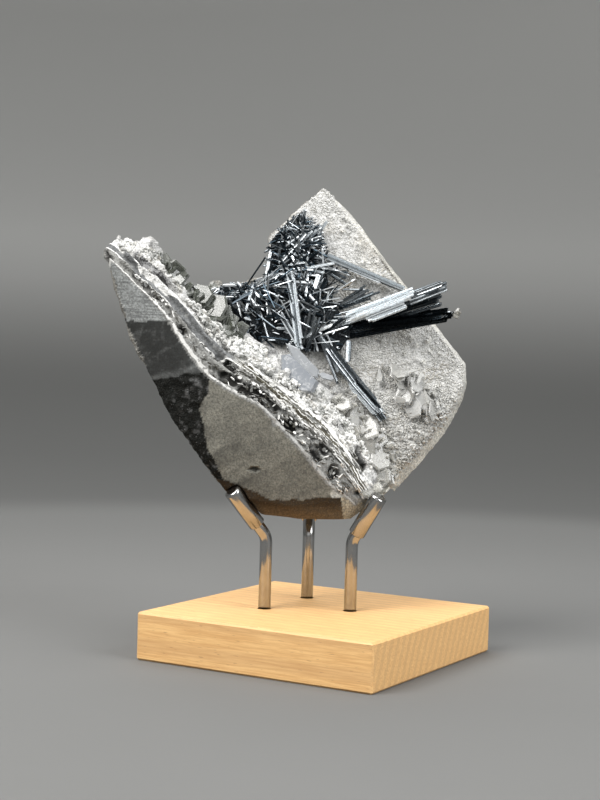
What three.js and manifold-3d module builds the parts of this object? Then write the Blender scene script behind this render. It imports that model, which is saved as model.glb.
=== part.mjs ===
// A cabinet mineral specimen on a display stand: tabular barite and bladed stibnite grown in an open,
// quartz-lined vein of grey rock, held by three bent steel prongs that stand in a beech block.
// Millimetres, +Z up. The origin is the middle of the block's underside, and the block's sides lie along X and Y.
import * as THREE from "three";
import { ConvexGeometry } from "three/addons/geometries/ConvexGeometry.js";
import { mergeVertices } from "three/addons/utils/BufferGeometryUtils.js";
import Module from "manifold-3d";

const wasm = await Module();
wasm.setup();

// ---------- driving dimensions ----------

const BLOCK_SIDE = 80;
const BLOCK_THICKNESS = 14.5;
const BLOCK_CHAMFER = 0.6;
const TURN = THREE.MathUtils.degToRad(30); // the specimen and its prongs are turned this far on the block

const PRONG_CENTRE = [-3.5, 5.4]; // in the turned frame, which all the specimen's points use
const PRONG_CIRCLE_R = 15.2;
// Each prong was bent by hand: `stands` is where it stands on the circle, `leans` the way its arm points and
// `tilt` its angle from upright, all in degrees; `bend` is the height where its two axes meet, and `sleeve`
// how far along the arm the sleeve begins.
const PRONGS = {
  left: { stands: -150, leans: -142, tilt: 43, bend: 36.8, sleeve: 5.4 },
  right: { stands: -30, leans: -35, tilt: 33, bend: 36, sleeve: 2.9 },
  back: { stands: 90, leans: 90, tilt: 38, bend: 36.2, sleeve: 4.2 },
};
const ROD_R = 1.9;
const ROD_SEAT_DEPTH = 10;
const ROD_BEND_R = 6;
const ROD_SIDES = 12;
const SLEEVE_R = 2.6;
const SLEEVE_LENGTH = 14.6;
const SLEEVE_END_WALL = 1.5;
const SLEEVE_SIDES = 14;
const GAP = 0.3; // between pieces that touch

// The open face of the back slab is a plane that leans back as it rises.
const SLAB_Y0 = -17.1;
const SLAB_PER_X = 0.077;
const SLAB_PER_Z = 0.303;

// ---------- helpers ----------

const V = (x, y, z) => new THREE.Vector3(x, y, z);
const radians = THREE.MathUtils.degToRad;
const slabY = (x, z) => SLAB_Y0 + SLAB_PER_X * x + SLAB_PER_Z * z;
const onSlab = (x, z, behind = 0) => [x, slabY(x, z) + behind, z];

// A repeatable source of numbers from 0 to 1 (mulberry32).
function randomFrom(seed) {
  let state = seed;
  return () => {
    state = (state + 0x6d2b79f5) | 0;
    let t = Math.imul(state ^ (state >>> 15), 1 | state);
    t = (t + Math.imul(t ^ (t >>> 7), 61 | t)) ^ t;
    return ((t ^ (t >>> 14)) >>> 0) / 4294967296;
  };
}

// A random point in a four-cornered patch of (x, z).
function inPatch([a, b, c, d], random) {
  const s = random();
  const t = random();
  const mix = (k) => (a[k] * (1 - s) + b[k] * s) * (1 - t) + (d[k] * (1 - s) + c[k] * s) * t;
  return [mix(0), mix(1)];
}

function solidFrom(geometry) {
  const bare = geometry.index ? geometry.toNonIndexed() : geometry.clone();
  bare.deleteAttribute("normal");
  bare.deleteAttribute("uv");
  const merged = mergeVertices(bare, 1e-4);
  return new wasm.Manifold(
    new wasm.Mesh({
      numProp: 3,
      vertProperties: merged.attributes.position.array,
      triVerts: new Uint32Array(merged.index.array),
    }),
  );
}

function geometryFrom(solid) {
  const mesh = solid.getMesh();
  const geometry = new THREE.BufferGeometry();
  geometry.setAttribute("position", new THREE.BufferAttribute(mesh.vertProperties, mesh.numProp));
  geometry.setIndex(new THREE.BufferAttribute(mesh.triVerts, 1));
  return geometry.toNonIndexed();
}

const hull = (points) => solidFrom(new ConvexGeometry(points));

// A form is a function from `grow` to the corners of a convex solid that is larger by `grow` on every side.
const fuse = (forms, grow = 0) => forms.map((form) => hull(form(grow))).reduce((all, one) => all.add(one));

// The largest connected piece: crumbs that a cut leaves behind a neighbour are dropped.
function largest(solid) {
  return solid.decompose().reduce((best, piece) => (piece.volume() > best.volume() ? piece : best));
}

// A block of rock given by its corners.
const chunk = (corners) => (grow) =>
  corners.flatMap(([x, y, z]) =>
    grow
      ? [-grow, grow].flatMap((i) => [-grow, grow].flatMap((j) => [-grow, grow].map((k) => V(x + i, y + j, z + k))))
      : [V(x, y, z)],
  );

// Unit vectors along the line from root to tip and two across it, turned by `roll` degrees.
function axesAlong(root, tip, roll = 0) {
  const along = tip.clone().sub(root).normalize();
  const aside = Math.abs(along.z) < 0.95 ? V(0, 0, 1) : V(0, 1, 0);
  const across = along.clone().cross(aside).normalize().applyAxisAngle(along, radians(roll));
  return { along, across, up: along.clone().cross(across) };
}

function ringAt(centre, { across, up }, corners) {
  return corners.map(([a, b]) => centre.clone().addScaledVector(across, a).addScaledVector(up, b));
}

// A long flat crystal with a bevelled section; `chisel` is the length of its end, in widths.
const blade = (root, tip, width, thickness, roll = 0, chisel = 0.8) => (grow) => {
  const start = V(...root);
  const end = V(...tip);
  const axes = axesAlong(start, end, roll);
  const a = width / 2 + grow;
  const b = thickness / 2 + grow;
  const section = [[a, 0], [a * 0.6, b], [-a * 0.6, b], [-a, 0], [-a * 0.6, -b], [a * 0.6, -b]];
  const shoulder = end.clone().addScaledVector(axes.along, -chisel * width);
  const point = end.addScaledVector(axes.along, grow);
  return [
    ...ringAt(start.addScaledVector(axes.along, -grow), axes, section),
    ...ringAt(shoulder, axes, section),
    ...ringAt(point, axes, [[a * 0.5, 0], [-a * 0.3, 0]]),
  ];
};

// A four-sided needle with a point.
const needle = (root, tip, width, roll = 0) => (grow) => {
  const start = V(...root);
  const end = V(...tip);
  const axes = axesAlong(start, end, roll);
  const a = width / 2 + grow;
  const section = [[a, 0], [0, a * 0.7], [-a, 0], [0, -a * 0.7]];
  const shoulder = end.clone().addScaledVector(axes.along, -width);
  return [...ringAt(start, axes, section), ...ringAt(shoulder, axes, section), end.addScaledVector(axes.along, grow)];
};

// A tabular crystal with bevelled rims. `face` points out of its broad face, `top` along it.
const plate = (centre, face, top, width, height, thickness) => (grow) => {
  const middle = V(...centre);
  const out = V(...face).normalize();
  const across = V(...top).cross(out).normalize();
  const up = out.clone().cross(across);
  const a = width / 2 + grow;
  const b = height / 2 + grow;
  const outline = [[a, -b * 0.5], [a, b * 0.6], [a * 0.2, b], [-a, b * 0.7], [-a, -b * 0.6], [-a * 0.1, -b]];
  const inner = outline.map(([p, q]) => [p * 0.88, q * 0.88]);
  const layer = (depth, corners) => ringAt(middle.clone().addScaledVector(out, depth), { across, up }, corners);
  const half = thickness / 2 + grow;
  return [...layer(half, inner), ...layer(-half, inner), ...layer(0, outline)];
};

// A small tabular grain: a five-cornered slip with plain edges.
const grain = (centre, face, top, size, thickness) => (grow) => {
  const middle = V(...centre);
  const out = V(...face).normalize();
  const across = V(...top).cross(out).normalize();
  const up = out.clone().cross(across);
  const r = size / 2 + grow;
  const outline = [[r, -r * 0.4], [r * 0.5, r], [-r * 0.6, r * 0.8], [-r, -r * 0.3], [r * 0.1, -r]];
  const half = thickness / 2 + grow;
  return [-half, half].flatMap((depth) =>
    ringAt(middle.clone().addScaledVector(out, depth), { across, up }, outline),
  );
};

// ---------- the rock ----------

const ROCK_MASSES = {
  // the left arm, from its tip at the upper left to where it meets the body
  arm: [
    [-68.5, -2, 123], [-64.8, -3.5, 111], [-59.8, -4.5, 97.3], [-53.3, -6, 85.3],
    [-66, -5, 120], [-49, -10, 104.5], [-34.5, -12, 88],
    [-65.2, 1, 126.4], [-58, 4, 126.4], [-51, 5, 120.5], [-40, 6, 110], [-31, 7, 102.6],
    [-61, 6, 108], [-54, 9, 92], [-44, 12, 80], [-32, 14, 88], [-46.7, -7, 73.3], [-36, -12.5, 76.5],
  ],
  // the front of the body: its broad grey break, the dark bevel on the left and the brown foot
  body: [
    [-53.3, -6, 85.3], [-46.7, -7, 73.3], [-37, -8, 60], [-28.8, -7.5, 50.2], [-18.2, -5, 43.7],
    [-6.5, -5, 42.6], [2.7, -4.5, 42.9], [8.8, -3.5, 42.9], [9.6, -5, 47],
    [7.3, -6.5, 49.8], [2.3, -9, 53.5], [-7, -12, 65], [-19, -13, 77], [-34, -12.5, 85],
    [-36, -12.5, 76.5], [-34, -11.8, 61.5], [-29, -9.5, 52],
    [-22, -9.5, 48.8], [-10, -9.5, 47.2], [2.5, -8, 48.4],
    [-31, 7, 102.6], [-19, 6, 94.5], [-5, 6, 88], [8, 5, 76], [17.5, 1, 61], [18, -3, 52],
    [-40, 14, 82], [-24, 16, 78], [-4, 14, 60], [12, 8, 50],
  ],
  // the thick mass under and behind the hollow, down to where the prongs hold it
  core: [
    [-18.2, -5, 43.7], [-6.5, -5, 42.6], [2.7, -4.5, 42.9], [8.8, -3.5, 42.9],
    [11, 8, 45.5], [5, 19, 45], [-6, 22, 44.5], [-16, 16, 44.5], [-23, 5, 46],
    [-28, 10, 55], [-19, 27, 57], [-4, 31.5, 53.6], [13, 25, 54], [22, 8, 52.5], [20, -3, 51.5],
    [-44, 13, 80], [-36, 31, 84], [-6, 39, 84], [22, 32, 80], [32, 14, 67],
    [-24, 15, 80], [0, 12, 66], [8, 8, 60],
  ],
  // the back slab: its open face, the rim a little behind it, and a smaller, broken back
  slab: [
    ...[
      [-1.7, 145.6], [5.8, 138.4], [15.8, 122.8], [23.2, 113], [33.2, 102.8], [43.2, 91], [43.6, 84.5],
      [40.6, 79.4], [33.8, 70.8], [26, 61.6], [17.5, 53.6],
      [-6.7, 141], [-12.4, 136], [-18.2, 129.5], [-19.5, 119], [-20, 96], [-2, 62],
    ].map(([x, z]) => onSlab(x, z)),
    ...[[-1.7, 146.4], [6.6, 138.6], [16.6, 122.8], [33.8, 103.2], [44.8, 91]].map(([x, z]) => onSlab(x, z, 2.5)),
    ...[[45.4, 84.5], [43.8, 78.6], [38.2, 68.8], [30.6, 59.4], [22.6, 50.6]].map(([x, z]) => onSlab(x, z, 5.5)),
    ...[
      [-2, 133], [11, 118], [28, 99], [35, 86], [29, 70], [16, 57], [-14, 123], [-18, 104],
    ].map(([x, z]) => onSlab(x, z, 15)),
  ],
  // the back wall of the hollow, lower than the slab, which it joins to the left arm
  wall: [
    [-39.5, 14, 111.6], [-36, 18, 113.4], [-28, 20, 112.4], [-20.5, 19, 114], [-14, 18, 118],
    [-34, 32, 108], [-22, 37, 112], [-10, 36, 115], [-43, 16, 98], [-38, 24, 90],
    [-26, 18, 86], [-10, 16, 82], [-8, 38, 92], [-24, 37, 92],
  ],
  // crumbly spurs that break up the rim, the crest, the back and the foot
  knob: [
    [-60, -2, 121], [-54, 1, 118], [-57.4, 3, 128.4], [-53.6, 3.5, 127.6], [-50.4, 5, 123.4], [-49, 6, 117], [-57, 7, 119],
  ],
  beak: [[-68.6, -1, 121.6], [-66, -4, 118], [-67.4, -1, 124.6], [-64.6, 1.5, 127.6], [-61, 2, 125], [-63, 5, 116]],
  notch: [[-38, 11, 108], [-31, 13, 107], [-37, 14.5, 114.6], [-33.6, 17, 115.6], [-32, 20, 108], [-40, 18, 107]],
  horn: [[-12, 26, 130], [-5, 22, 128], [-4, 26, 143.6], [0, 27, 141], [-6, 30, 131]],
  shelf: [[28, 8, 84], [36, 10, 84], [33, 8.2, 80], [31, 22, 88], [26, 12, 76]],
  hump: [[-14, 34, 70], [0, 34, 68], [-8, 40.5, 78], [4, 38, 80], [-18, 36, 82], [-6, 38, 90]],
  heel: [[-46, 8, 88], [-40, 22, 84], [-47, 14, 96], [-42, 22, 98], [-34, 26, 90]],
};

// Guide lines along the arm's broken edge: its outer edge, and its crest beside the hollow.
const EDGE_LINE = new THREE.CatmullRomCurve3([
  V(-66, -5, 120.5),
  V(-49, -10, 105),
  V(-34, -12.6, 86.5),
  V(-19, -13, 77.7),
  V(-7, -12, 65.7),
  V(2.3, -9, 54.3),
  V(7.8, -6.5, 49.9),
]);
const CREST_LINE = new THREE.CatmullRomCurve3([
  V(-62, 3, 126.5),
  V(-50, 5.5, 120),
  V(-31, 7, 103.4),
  V(-18.5, 6, 95.2),
  V(-4.5, 6, 88.7),
  V(8.5, 5, 76.5),
  V(17, 1, 61.5),
]);

// A point on the broken edge: `along` runs from the tip down, `over` from the outer edge to the crest.
function onBand(along, over, lift = 0) {
  const outer = EDGE_LINE.getPoint(along);
  const inner = CREST_LINE.getPoint(along);
  const out = EDGE_LINE.getTangent(along).cross(inner.clone().sub(outer)).normalize();
  return outer.lerp(inner, over).addScaledVector(out, lift);
}

// The vein's layers stand out of the broken edge as long thin ledges, one form for each stretch.
const LEDGES = [
  { over: 0.2, from: 0.4, to: 0.98, wide: 0.045, high: 1.5 },
  { over: 0.32, from: 0.36, to: 0.99, wide: 0.04, high: 1.9 },
  { over: 0.45, from: 0.44, to: 0.98, wide: 0.04, high: 1.4 },
  { over: 0.14, from: 0.02, to: 0.46, wide: 0.05, high: 1.5 },
  { over: 0.38, from: 0.02, to: 0.42, wide: 0.055, high: 2 },
  { over: 0.62, from: 0.03, to: 0.38, wide: 0.05, high: 1.5 },
];
const LEDGE_STRETCHES = 6;

function ledge({ over, from, to, wide, high }) {
  const rib = (i) => {
    const along = from + ((to - from) * i) / LEDGE_STRETCHES;
    const middle = over + 0.018 * Math.sin(i * 2.3 + over * 20);
    return [
      onBand(along, middle - wide, -1.5),
      onBand(along, middle + wide, -1.5),
      onBand(along, middle - wide * 0.6, high),
      onBand(along, middle + wide * 0.6, high * 0.8),
    ].map((p) => p.toArray());
  };
  return Array.from({ length: LEDGE_STRETCHES }, (_, i) => chunk([...rib(i), ...rib(i + 1)]));
}

// Barite grains that crust the crest side of the broken edge.
const CRUST_GRAINS = 28;

function crust() {
  const random = randomFrom(11);
  return Array.from({ length: CRUST_GRAINS }, (_, i) => {
    const along = 0.05 + (0.93 * (i + random())) / CRUST_GRAINS;
    const over = 0.56 + 0.22 * random();
    const at = onBand(along, over, 0.3);
    const tilt = V(random() - 0.5, random() - 0.5, random() - 0.5).multiplyScalar(1.5);
    const face = onBand(along, over, 1.3).sub(at).add(tilt);
    const top = [random() - 0.5, random() - 0.5, random() - 0.2];
    const size = 2.8 + 2.6 * random();
    return grain(at.toArray(), face.toArray(), top, size, size * 0.45);
  });
}

// Quartz points that line the slab's open face, patch by patch.
const DRUSE_PATCHES = [
  { count: 12, corners: [[2, 136], [7, 136], [17, 118], [4, 116]] },
  { count: 12, corners: [[14, 100], [30, 102], [40, 90], [20, 90]] },
  { count: 8, corners: [[24, 72], [35, 74], [28, 63], [22, 58]] },
];

function druse() {
  const random = randomFrom(5);
  return DRUSE_PATCHES.flatMap(({ count, corners }) =>
    Array.from({ length: count }, () => {
      const [x, z] = inPatch(corners, random);
      const r = 1 + 0.8 * random();
      const turn = random() * 2;
      const base = [0, 1, 2, 3].map((k) => {
        const a = turn + (k * Math.PI) / 2;
        return onSlab(x + r * Math.cos(a), z + r * Math.sin(a), 0.8);
      });
      return chunk([...base, onSlab(x + (random() - 0.5) * r, z + (random() - 0.3) * r, -1.1 * r)]);
    }),
  );
}

// Open pockets eaten into the layers; `long` and `deep` are in millimetres, `across` a share of the band.
const POCKETS = [
  { along: 0.54, over: 0.09, long: 3.4, across: 0.055, deep: 3 },
  { along: 0.62, over: 0.09, long: 3.8, across: 0.06, deep: 3.5 },
  { along: 0.74, over: 0.09, long: 4.2, across: 0.06, deep: 3.5 },
  { along: 0.83, over: 0.08, long: 2.6, across: 0.05, deep: 2.5 },
  { along: 0.16, over: 0.5, long: 6, across: 0.09, deep: 4 },
  { along: 0.26, over: 0.48, long: 5, across: 0.08, deep: 3.6 },
  { along: 0.36, over: 0.52, long: 3.4, across: 0.06, deep: 3 },
  { along: 0.24, over: 0.25, long: 4, across: 0.05, deep: 2.4 },
  { along: 0.97, over: 0.6, long: 3.4, across: 0.13, deep: 4.5 },
];

function pocket({ along, over, long, across, deep }) {
  const half = long / EDGE_LINE.getLength() / 1.4;
  const rim = [
    [-half, 0],
    [-half * 0.5, -across],
    [half * 0.6, -across * 0.9],
    [half, across * 0.2],
    [half * 0.3, across],
    [-half * 0.6, across * 0.8],
  ];
  const ring = (scale, lift) => rim.map(([a, b]) => onBand(along + a * scale, over + b * scale, lift).toArray());
  return chunk([...ring(1, 3.5), ...ring(0.8, -deep * 0.5), onBand(along, over, -deep).toArray()]);
}

const CRACK = chunk([
  [-16.6, -15, 75],
  [-13.6, -15, 74],
  [-15.3, -15, 66.2],
  [-15.8, -11, 73],
  [-14.6, -11, 72],
  [-15.2, -11.5, 68],
]);

// ---------- barite ----------

// Thin clear plates that stand like books along the upper crest.
const CREST_ROW = { from: 0.12, to: 0.385, count: 11, low: 5.5, high: 10.5, thick: 3.8 };

function crestPlates() {
  const random = randomFrom(21);
  const { from, to, count, low, high, thick } = CREST_ROW;
  return Array.from({ length: count }, (_, i) => {
    const share = i / (count - 1);
    const along = from + (to - from) * share;
    const size = low + (high - low) * share + 1.4 * (random() - 0.5);
    const centre = onBand(along, 0.88, 1 + 0.6 * share);
    const top = [0.5, -0.1 + 0.3 * random(), 1];
    const face = CREST_LINE.getTangent(along).add(V(0, -0.35 - 0.4 * random(), 0.3 * (random() - 0.5)));
    return plate(centre.toArray(), face.toArray(), top, size, size, thick);
  });
}

const BARITE = {
  barite_crest_plates: crestPlates(),

  // one broad steel-grey plate lying over the middle of the crest, with smaller ones at its edges
  barite_broad_plate: [
    plate([-8.3, 1.8, 88.2], [-0.25, -0.9, 0.42], [0.75, 0, -0.7], 12, 18, 3),
    plate([-12.5, 3.2, 91.4], [-0.4, -0.8, 0.5], [0.8, 0, -0.5], 8, 12, 2.8),
    plate([-1.5, 2.6, 85.6], [0.2, -0.85, 0.5], [0.6, 0.1, -0.8], 6, 11, 3),
    plate([-3.4, 1.6, 80.8], [-0.1, -0.95, 0.2], [0.9, 0, -0.3], 6, 8, 2.8),
  ],

  // frosted blades crowding the foot of the hollow, round one open pocket
  barite_foot_cluster: [
    plate([5.5, 3, 77.6], [-0.3, -0.85, 0.4], [0.7, 0, 0.7], 9, 8, 2.6),
    plate([9.6, 3.2, 73.6], [0.5, -0.75, 0.3], [0.2, 0.2, 1], 8, 11, 2.6),
    plate([13.4, 3.4, 70.6], [-0.2, -0.9, 0.5], [0.9, 0, 0.5], 11, 8, 2.8),
    plate([16.6, 2.8, 67], [0.6, -0.7, 0.2], [-0.2, 0, 1], 8, 10, 2.6),
    plate([9, 1.8, 68.4], [-0.5, -0.8, 0.3], [0.4, 0, 1], 8, 9, 2.6),
    plate([12.8, 1.2, 64.6], [0.1, -0.95, 0.2], [0.1, 0, 1], 9, 11, 3),
    plate([17.4, 1.4, 61.4], [0.4, -0.9, 0.3], [0.3, 0, 1], 7, 11, 3),
    plate([18.2, 0, 55.8], [-0.3, -0.9, 0.2], [0.8, 0, 0.6], 9, 9, 3),
    plate([13.4, -2.4, 52.8], [0.2, -0.8, 0.6], [1, 0, 0.1], 10, 6, 3),
    plate([8.4, -2.4, 57.2], [-0.5, -0.8, 0.3], [0.2, 0, 1], 6, 12, 2.8),
  ],

  // a loose rosette of clear plates part-way up the slab
  barite_rosette: [
    plate([22.8, 9, 87.2], [0.1, -0.5, 0.9], [1, 0.1, 0.3], 12, 6, 2.2),
    plate([28.4, 8.8, 84], [0.6, -0.7, 0.3], [0.2, -0.2, 1], 7, 9, 2.4),
    plate([25.4, 8, 80.6], [-0.6, -0.7, 0.3], [0, -0.3, 1], 7, 9, 2.4),
    plate([30.4, 7.8, 78.8], [0.1, -0.9, 0.4], [0.8, 0, 0.6], 10, 7, 2.6),
    plate([33.6, 7.2, 75.8], [0.5, -0.7, 0.6], [0.7, 0.2, -0.7], 8, 7, 2.6),
    plate([27.6, 7.4, 76.8], [-0.4, -0.6, 0.7], [0.9, 0, 0.3], 8, 7, 2.4),
  ],
};

// ---------- stibnite ----------

// The matted bed that the stibnite grows from, on the back wall and the slab's left half.
const STIBNITE_BED = [
  [
    [-38, 12, 111.4], [-29, 14.4, 112.6], [-20.4, 14, 114.6], [-13, 12.5, 112], [-8, 8.6, 96],
    [-14, 9, 95], [-26, 12, 100], [-36, 20, 109.4], [-20, 22, 110], [-10, 20, 96], [-26, 20, 97],
  ],
  [
    [-18.8, 14, 113.6], [-18.4, 19, 128.4], [-13.4, 20.5, 134.6], [-8.6, 21.8, 138.4], [-4, 21, 133],
    [-1, 17.6, 122], [1.6, 14.2, 111], [-16, 24, 118], [-8, 26, 134], [0, 20, 112],
  ],
  [
    [-14, 11.6, 113], [1.8, 12.6, 110], [8.4, 10, 100.4], [5, 8.4, 94], [-7, 8, 94],
    [-11, 9, 99], [-12, 18, 112], [6, 16, 102], [-6, 16, 92],
  ],
].map(chunk);

// Sheaves of blades side by side: they share a direction, spread by `fan` at the tip and end at different
// lengths. `turn` is the roll in degrees of the plane they spread in; at 90 it is upright.
const SHEAVES = [
  // the great fan that leans out past the slab's right edge: blunt front blades, then the upper, middle and lower
  { root: [4, 11, 101.4], tip: [27.4, 5.4, 112.2], base: 2.4, fan: 3.6, count: 3, width: 1.7, thick: 2.2, cut: 0.05 },
  { root: [2, 12.4, 101.4], tip: [36.8, 4.6, 115.8], base: 3, fan: 3.4, count: 5, width: 1.6, thick: 2.4, cut: 0.16 },
  { root: [5, 12.4, 100], tip: [37.6, 6.2, 110.2], base: 2.6, fan: 4.6, count: 4, width: 2, thick: 2.2, cut: 0.06 },
  { root: [3, 12.4, 98.8], tip: [42.2, 7.4, 105.8], base: 2.6, fan: 2.2, count: 4, width: 1.7, thick: 2.6, cut: 0.3 },
  // a narrow sheaf lying on the slab behind them
  { root: [0, 16.6, 124], tip: [25.4, 16.2, 114], base: 2.4, fan: 1.2, count: 2, width: 1.4, thick: 1.3, cut: 0.1 },
  // the upright blades at the centre
  { root: [-7.6, 9, 93.6], tip: [-12.1, 6.5, 118.2], base: 0.8, fan: 2, count: 2, width: 1.8, thick: 1.6, cut: 0.1 },
  { root: [-8, 8.6, 93.4], tip: [-15.2, 6.4, 105.6], base: 0.6, fan: 2.6, count: 2, width: 1.5, thick: 1.4, cut: 0.1 },
  // a dark flat blade crossing beside them
  { root: [-6, 9, 94], tip: [6.2, 7, 104.6], base: 0, fan: 0, count: 1, width: 2.4, thick: 1.4, cut: 0 },
  // the sheaf that runs down the slab to the foot of the hollow
  { root: [-2, 10, 98], tip: [19.4, 5.6, 72.2], base: 2, fan: 2.6, count: 4, width: 1.6, thick: 1.6, cut: 0.35 },
  { root: [-1, 10, 97], tip: [4.6, 6.4, 84], base: 1, fan: 2, count: 2, width: 1.1, thick: 1, cut: 0.2 },
  { root: [7, 12, 98], tip: [7.6, 8.4, 89], base: 0, fan: 0, count: 1, width: 1.3, thick: 1, cut: 0 },
];

function sheaf({ root, tip, base, fan, count, width, thick, cut }, index) {
  const random = randomFrom(100 + index);
  const start = V(...root);
  const end = V(...tip);
  const { across, up } = axesAlong(start, end, 90);
  return Array.from({ length: count }, (_, i) => {
    const side = count > 1 ? i / (count - 1) - 0.5 : 0;
    const depth = (random() - 0.5) * 0.8;
    const reach = 1 - cut * random();
    const from = start.clone().addScaledVector(across, side * base).addScaledVector(up, depth);
    const to = start.clone().lerp(end, reach).addScaledVector(across, side * fan).addScaledVector(up, depth);
    return blade(from.toArray(), to.toArray(), width, thick, 90 + 24 * (random() - 0.5), 0.5 + random());
  });
}

// Single needles that cross each other all over the bed.
const NEEDLE_PATCHES = [
  { count: 15, corners: [[-36, 111], [-21, 112.5], [-9, 96], [-24, 100]], rootY: () => 15 },
  { count: 19, corners: [[-15, 116], [-10, 132], [-4, 131], [0, 113]], rootY: (x, z) => slabY(x, z) - 0.6 },
  { count: 13, corners: [[-13, 112], [1, 110], [6, 99], [-8, 96]], rootY: (x, z) => slabY(x, z) - 2 },
];

function strayNeedles() {
  const random = randomFrom(31);
  return NEEDLE_PATCHES.flatMap(({ count, corners, rootY }) =>
    Array.from({ length: count }, () => {
      const [x, z] = inPatch(corners, random);
      const y = rootY(x, z);
      const turn = random() * Math.PI * 2;
      const rise = 0.35 + 0.5 * random();
      const length = 7 + 5 * random();
      const flat = Math.sqrt(1 - rise * rise) * length;
      const tip = [x + Math.cos(turn) * flat, y - rise * length - 1.5, z + Math.sin(turn) * flat * 0.7];
      return needle([x, y, z], tip, 1 + 0.6 * random(), random() * 180);
    }),
  );
}

// ---------- the stand ----------

// A prism round a line, for the seats and the sleeves' clearances.
function rodForm(from, to, radius, sides) {
  const axes = axesAlong(from, to);
  const circle = Array.from({ length: sides }, (_, i) => {
    const a = (2 * Math.PI * i) / sides;
    return [radius * Math.cos(a), radius * Math.sin(a)];
  });
  return [...ringAt(from, axes, circle), ...ringAt(to, axes, circle)];
}

// Where a prong stands, the way its arm leans out, and the corner where its two straight axes meet.
function prongLine({ stands, leans, tilt, bend }) {
  const foot = V(...PRONG_CENTRE, 0);
  foot.x += PRONG_CIRCLE_R * Math.cos(radians(stands));
  foot.y += PRONG_CIRCLE_R * Math.sin(radians(stands));
  const out = V(Math.cos(radians(leans)), Math.sin(radians(leans)), 0);
  const arm = out.clone().multiplyScalar(Math.sin(radians(tilt))).setZ(Math.cos(radians(tilt)));
  return { foot, out, arm, corner: foot.clone().setZ(bend) };
}

// The rod: upright, one bend, then the leaning arm, lofted as rings into a closed tube.
const BEND_STEPS = 5;

function rodGeometry(prong) {
  const { foot, out, arm, corner } = prongLine(prong);
  const tilt = radians(prong.tilt);
  const bendStart = prong.bend - ROD_BEND_R * Math.tan(tilt / 2);
  const stations = [{ at: foot.clone().setZ(BLOCK_THICKNESS - ROD_SEAT_DEPTH + GAP), angle: 0 }];
  for (let i = 0; i <= BEND_STEPS; i++) {
    const angle = (tilt * i) / BEND_STEPS;
    const at = foot.clone().addScaledVector(out, ROD_BEND_R * (1 - Math.cos(angle)));
    stations.push({ at: at.setZ(bendStart + ROD_BEND_R * Math.sin(angle)), angle });
  }
  const armLength = prong.sleeve + SLEEVE_LENGTH - SLEEVE_END_WALL - GAP;
  stations.push({ at: corner.clone().addScaledVector(arm, armLength), angle: tilt });

  const side = V(0, 0, 1).cross(out);
  const positions = stations.flatMap(({ at, angle }) => {
    const away = out.clone().multiplyScalar(Math.cos(angle)).setZ(-Math.sin(angle));
    const circle = Array.from({ length: ROD_SIDES }, (_, k) => {
      const a = (2 * Math.PI * k) / ROD_SIDES;
      return [ROD_R * Math.cos(a), ROD_R * Math.sin(a)];
    });
    return ringAt(at, { across: away, up: side }, circle).flatMap((p) => p.toArray());
  });
  const index = [];
  const last = (stations.length - 1) * ROD_SIDES;
  for (let ring = 0; ring < last; ring += ROD_SIDES)
    for (let k = 0; k < ROD_SIDES; k++) {
      const next = (k + 1) % ROD_SIDES;
      const above = ring + ROD_SIDES;
      index.push(ring + k, ring + next, above + next, ring + k, above + next, above + k);
    }
  for (let k = 1; k < ROD_SIDES - 1; k++) index.push(0, k + 1, k, last, last + k, last + k + 1);
  const geometry = new THREE.BufferGeometry();
  geometry.setAttribute("position", new THREE.Float32BufferAttribute(positions, 3));
  geometry.setIndex(index);
  return geometry;
}

// The thicker sleeve on the arm's end: a turned tube, closed and slightly rounded at the top.
function sleeveGeometry() {
  const bore = ROD_R + GAP;
  const round = 0.7;
  const profile = [
    [bore, 0],
    [SLEEVE_R, 0],
    [SLEEVE_R, SLEEVE_LENGTH - round],
    [SLEEVE_R - round * 0.3, SLEEVE_LENGTH - round * 0.3],
    [SLEEVE_R - round, SLEEVE_LENGTH],
    [0, SLEEVE_LENGTH],
    [0, SLEEVE_LENGTH - SLEEVE_END_WALL],
    [bore, SLEEVE_LENGTH - SLEEVE_END_WALL],
    [bore, 0],
  ];
  return new THREE.LatheGeometry(profile.map(([r, h]) => new THREE.Vector2(r, h)), SLEEVE_SIDES);
}

function sleeveClearance(prong) {
  const { arm, corner } = prongLine(prong);
  const from = corner.clone().addScaledVector(arm, prong.sleeve - 1);
  const to = corner.clone().addScaledVector(arm, prong.sleeve + SLEEVE_LENGTH + GAP);
  return hull(rodForm(from, to, SLEEVE_R + GAP, SLEEVE_SIDES));
}

function seat(prong) {
  const foot = prongLine(prong).foot.applyAxisAngle(V(0, 0, 1), TURN);
  const floor = foot.clone().setZ(BLOCK_THICKNESS - ROD_SEAT_DEPTH);
  return hull(rodForm(floor, foot.clone().setZ(BLOCK_THICKNESS + 1), ROD_R + GAP, 16));
}

function blockGeometry() {
  const half = BLOCK_SIDE / 2;
  const inner = half - BLOCK_CHAMFER;
  const levels = [
    [0, BLOCK_CHAMFER],
    [BLOCK_THICKNESS, BLOCK_THICKNESS - BLOCK_CHAMFER],
  ];
  const corners = [-1, 1].flatMap((i) =>
    [-1, 1].flatMap((j) =>
      levels.flatMap(([flat, edge]) => [
        V(i * inner, j * inner, flat),
        V(i * half, j * inner, edge),
        V(i * inner, j * half, edge),
      ]),
    ),
  );
  return geometryFrom(Object.values(PRONGS).reduce((block, prong) => block.subtract(seat(prong)), hull(corners)));
}

// ---------- cutting the neighbours to fit ----------

const rockMasses = Object.values(ROCK_MASSES).map(chunk);
const rockGrowth = [...LEDGES.flatMap(ledge), ...crust(), ...druse()];
const sleeveRoom = Object.values(PRONGS).map(sleeveClearance).reduce((all, one) => all.add(one));

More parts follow.
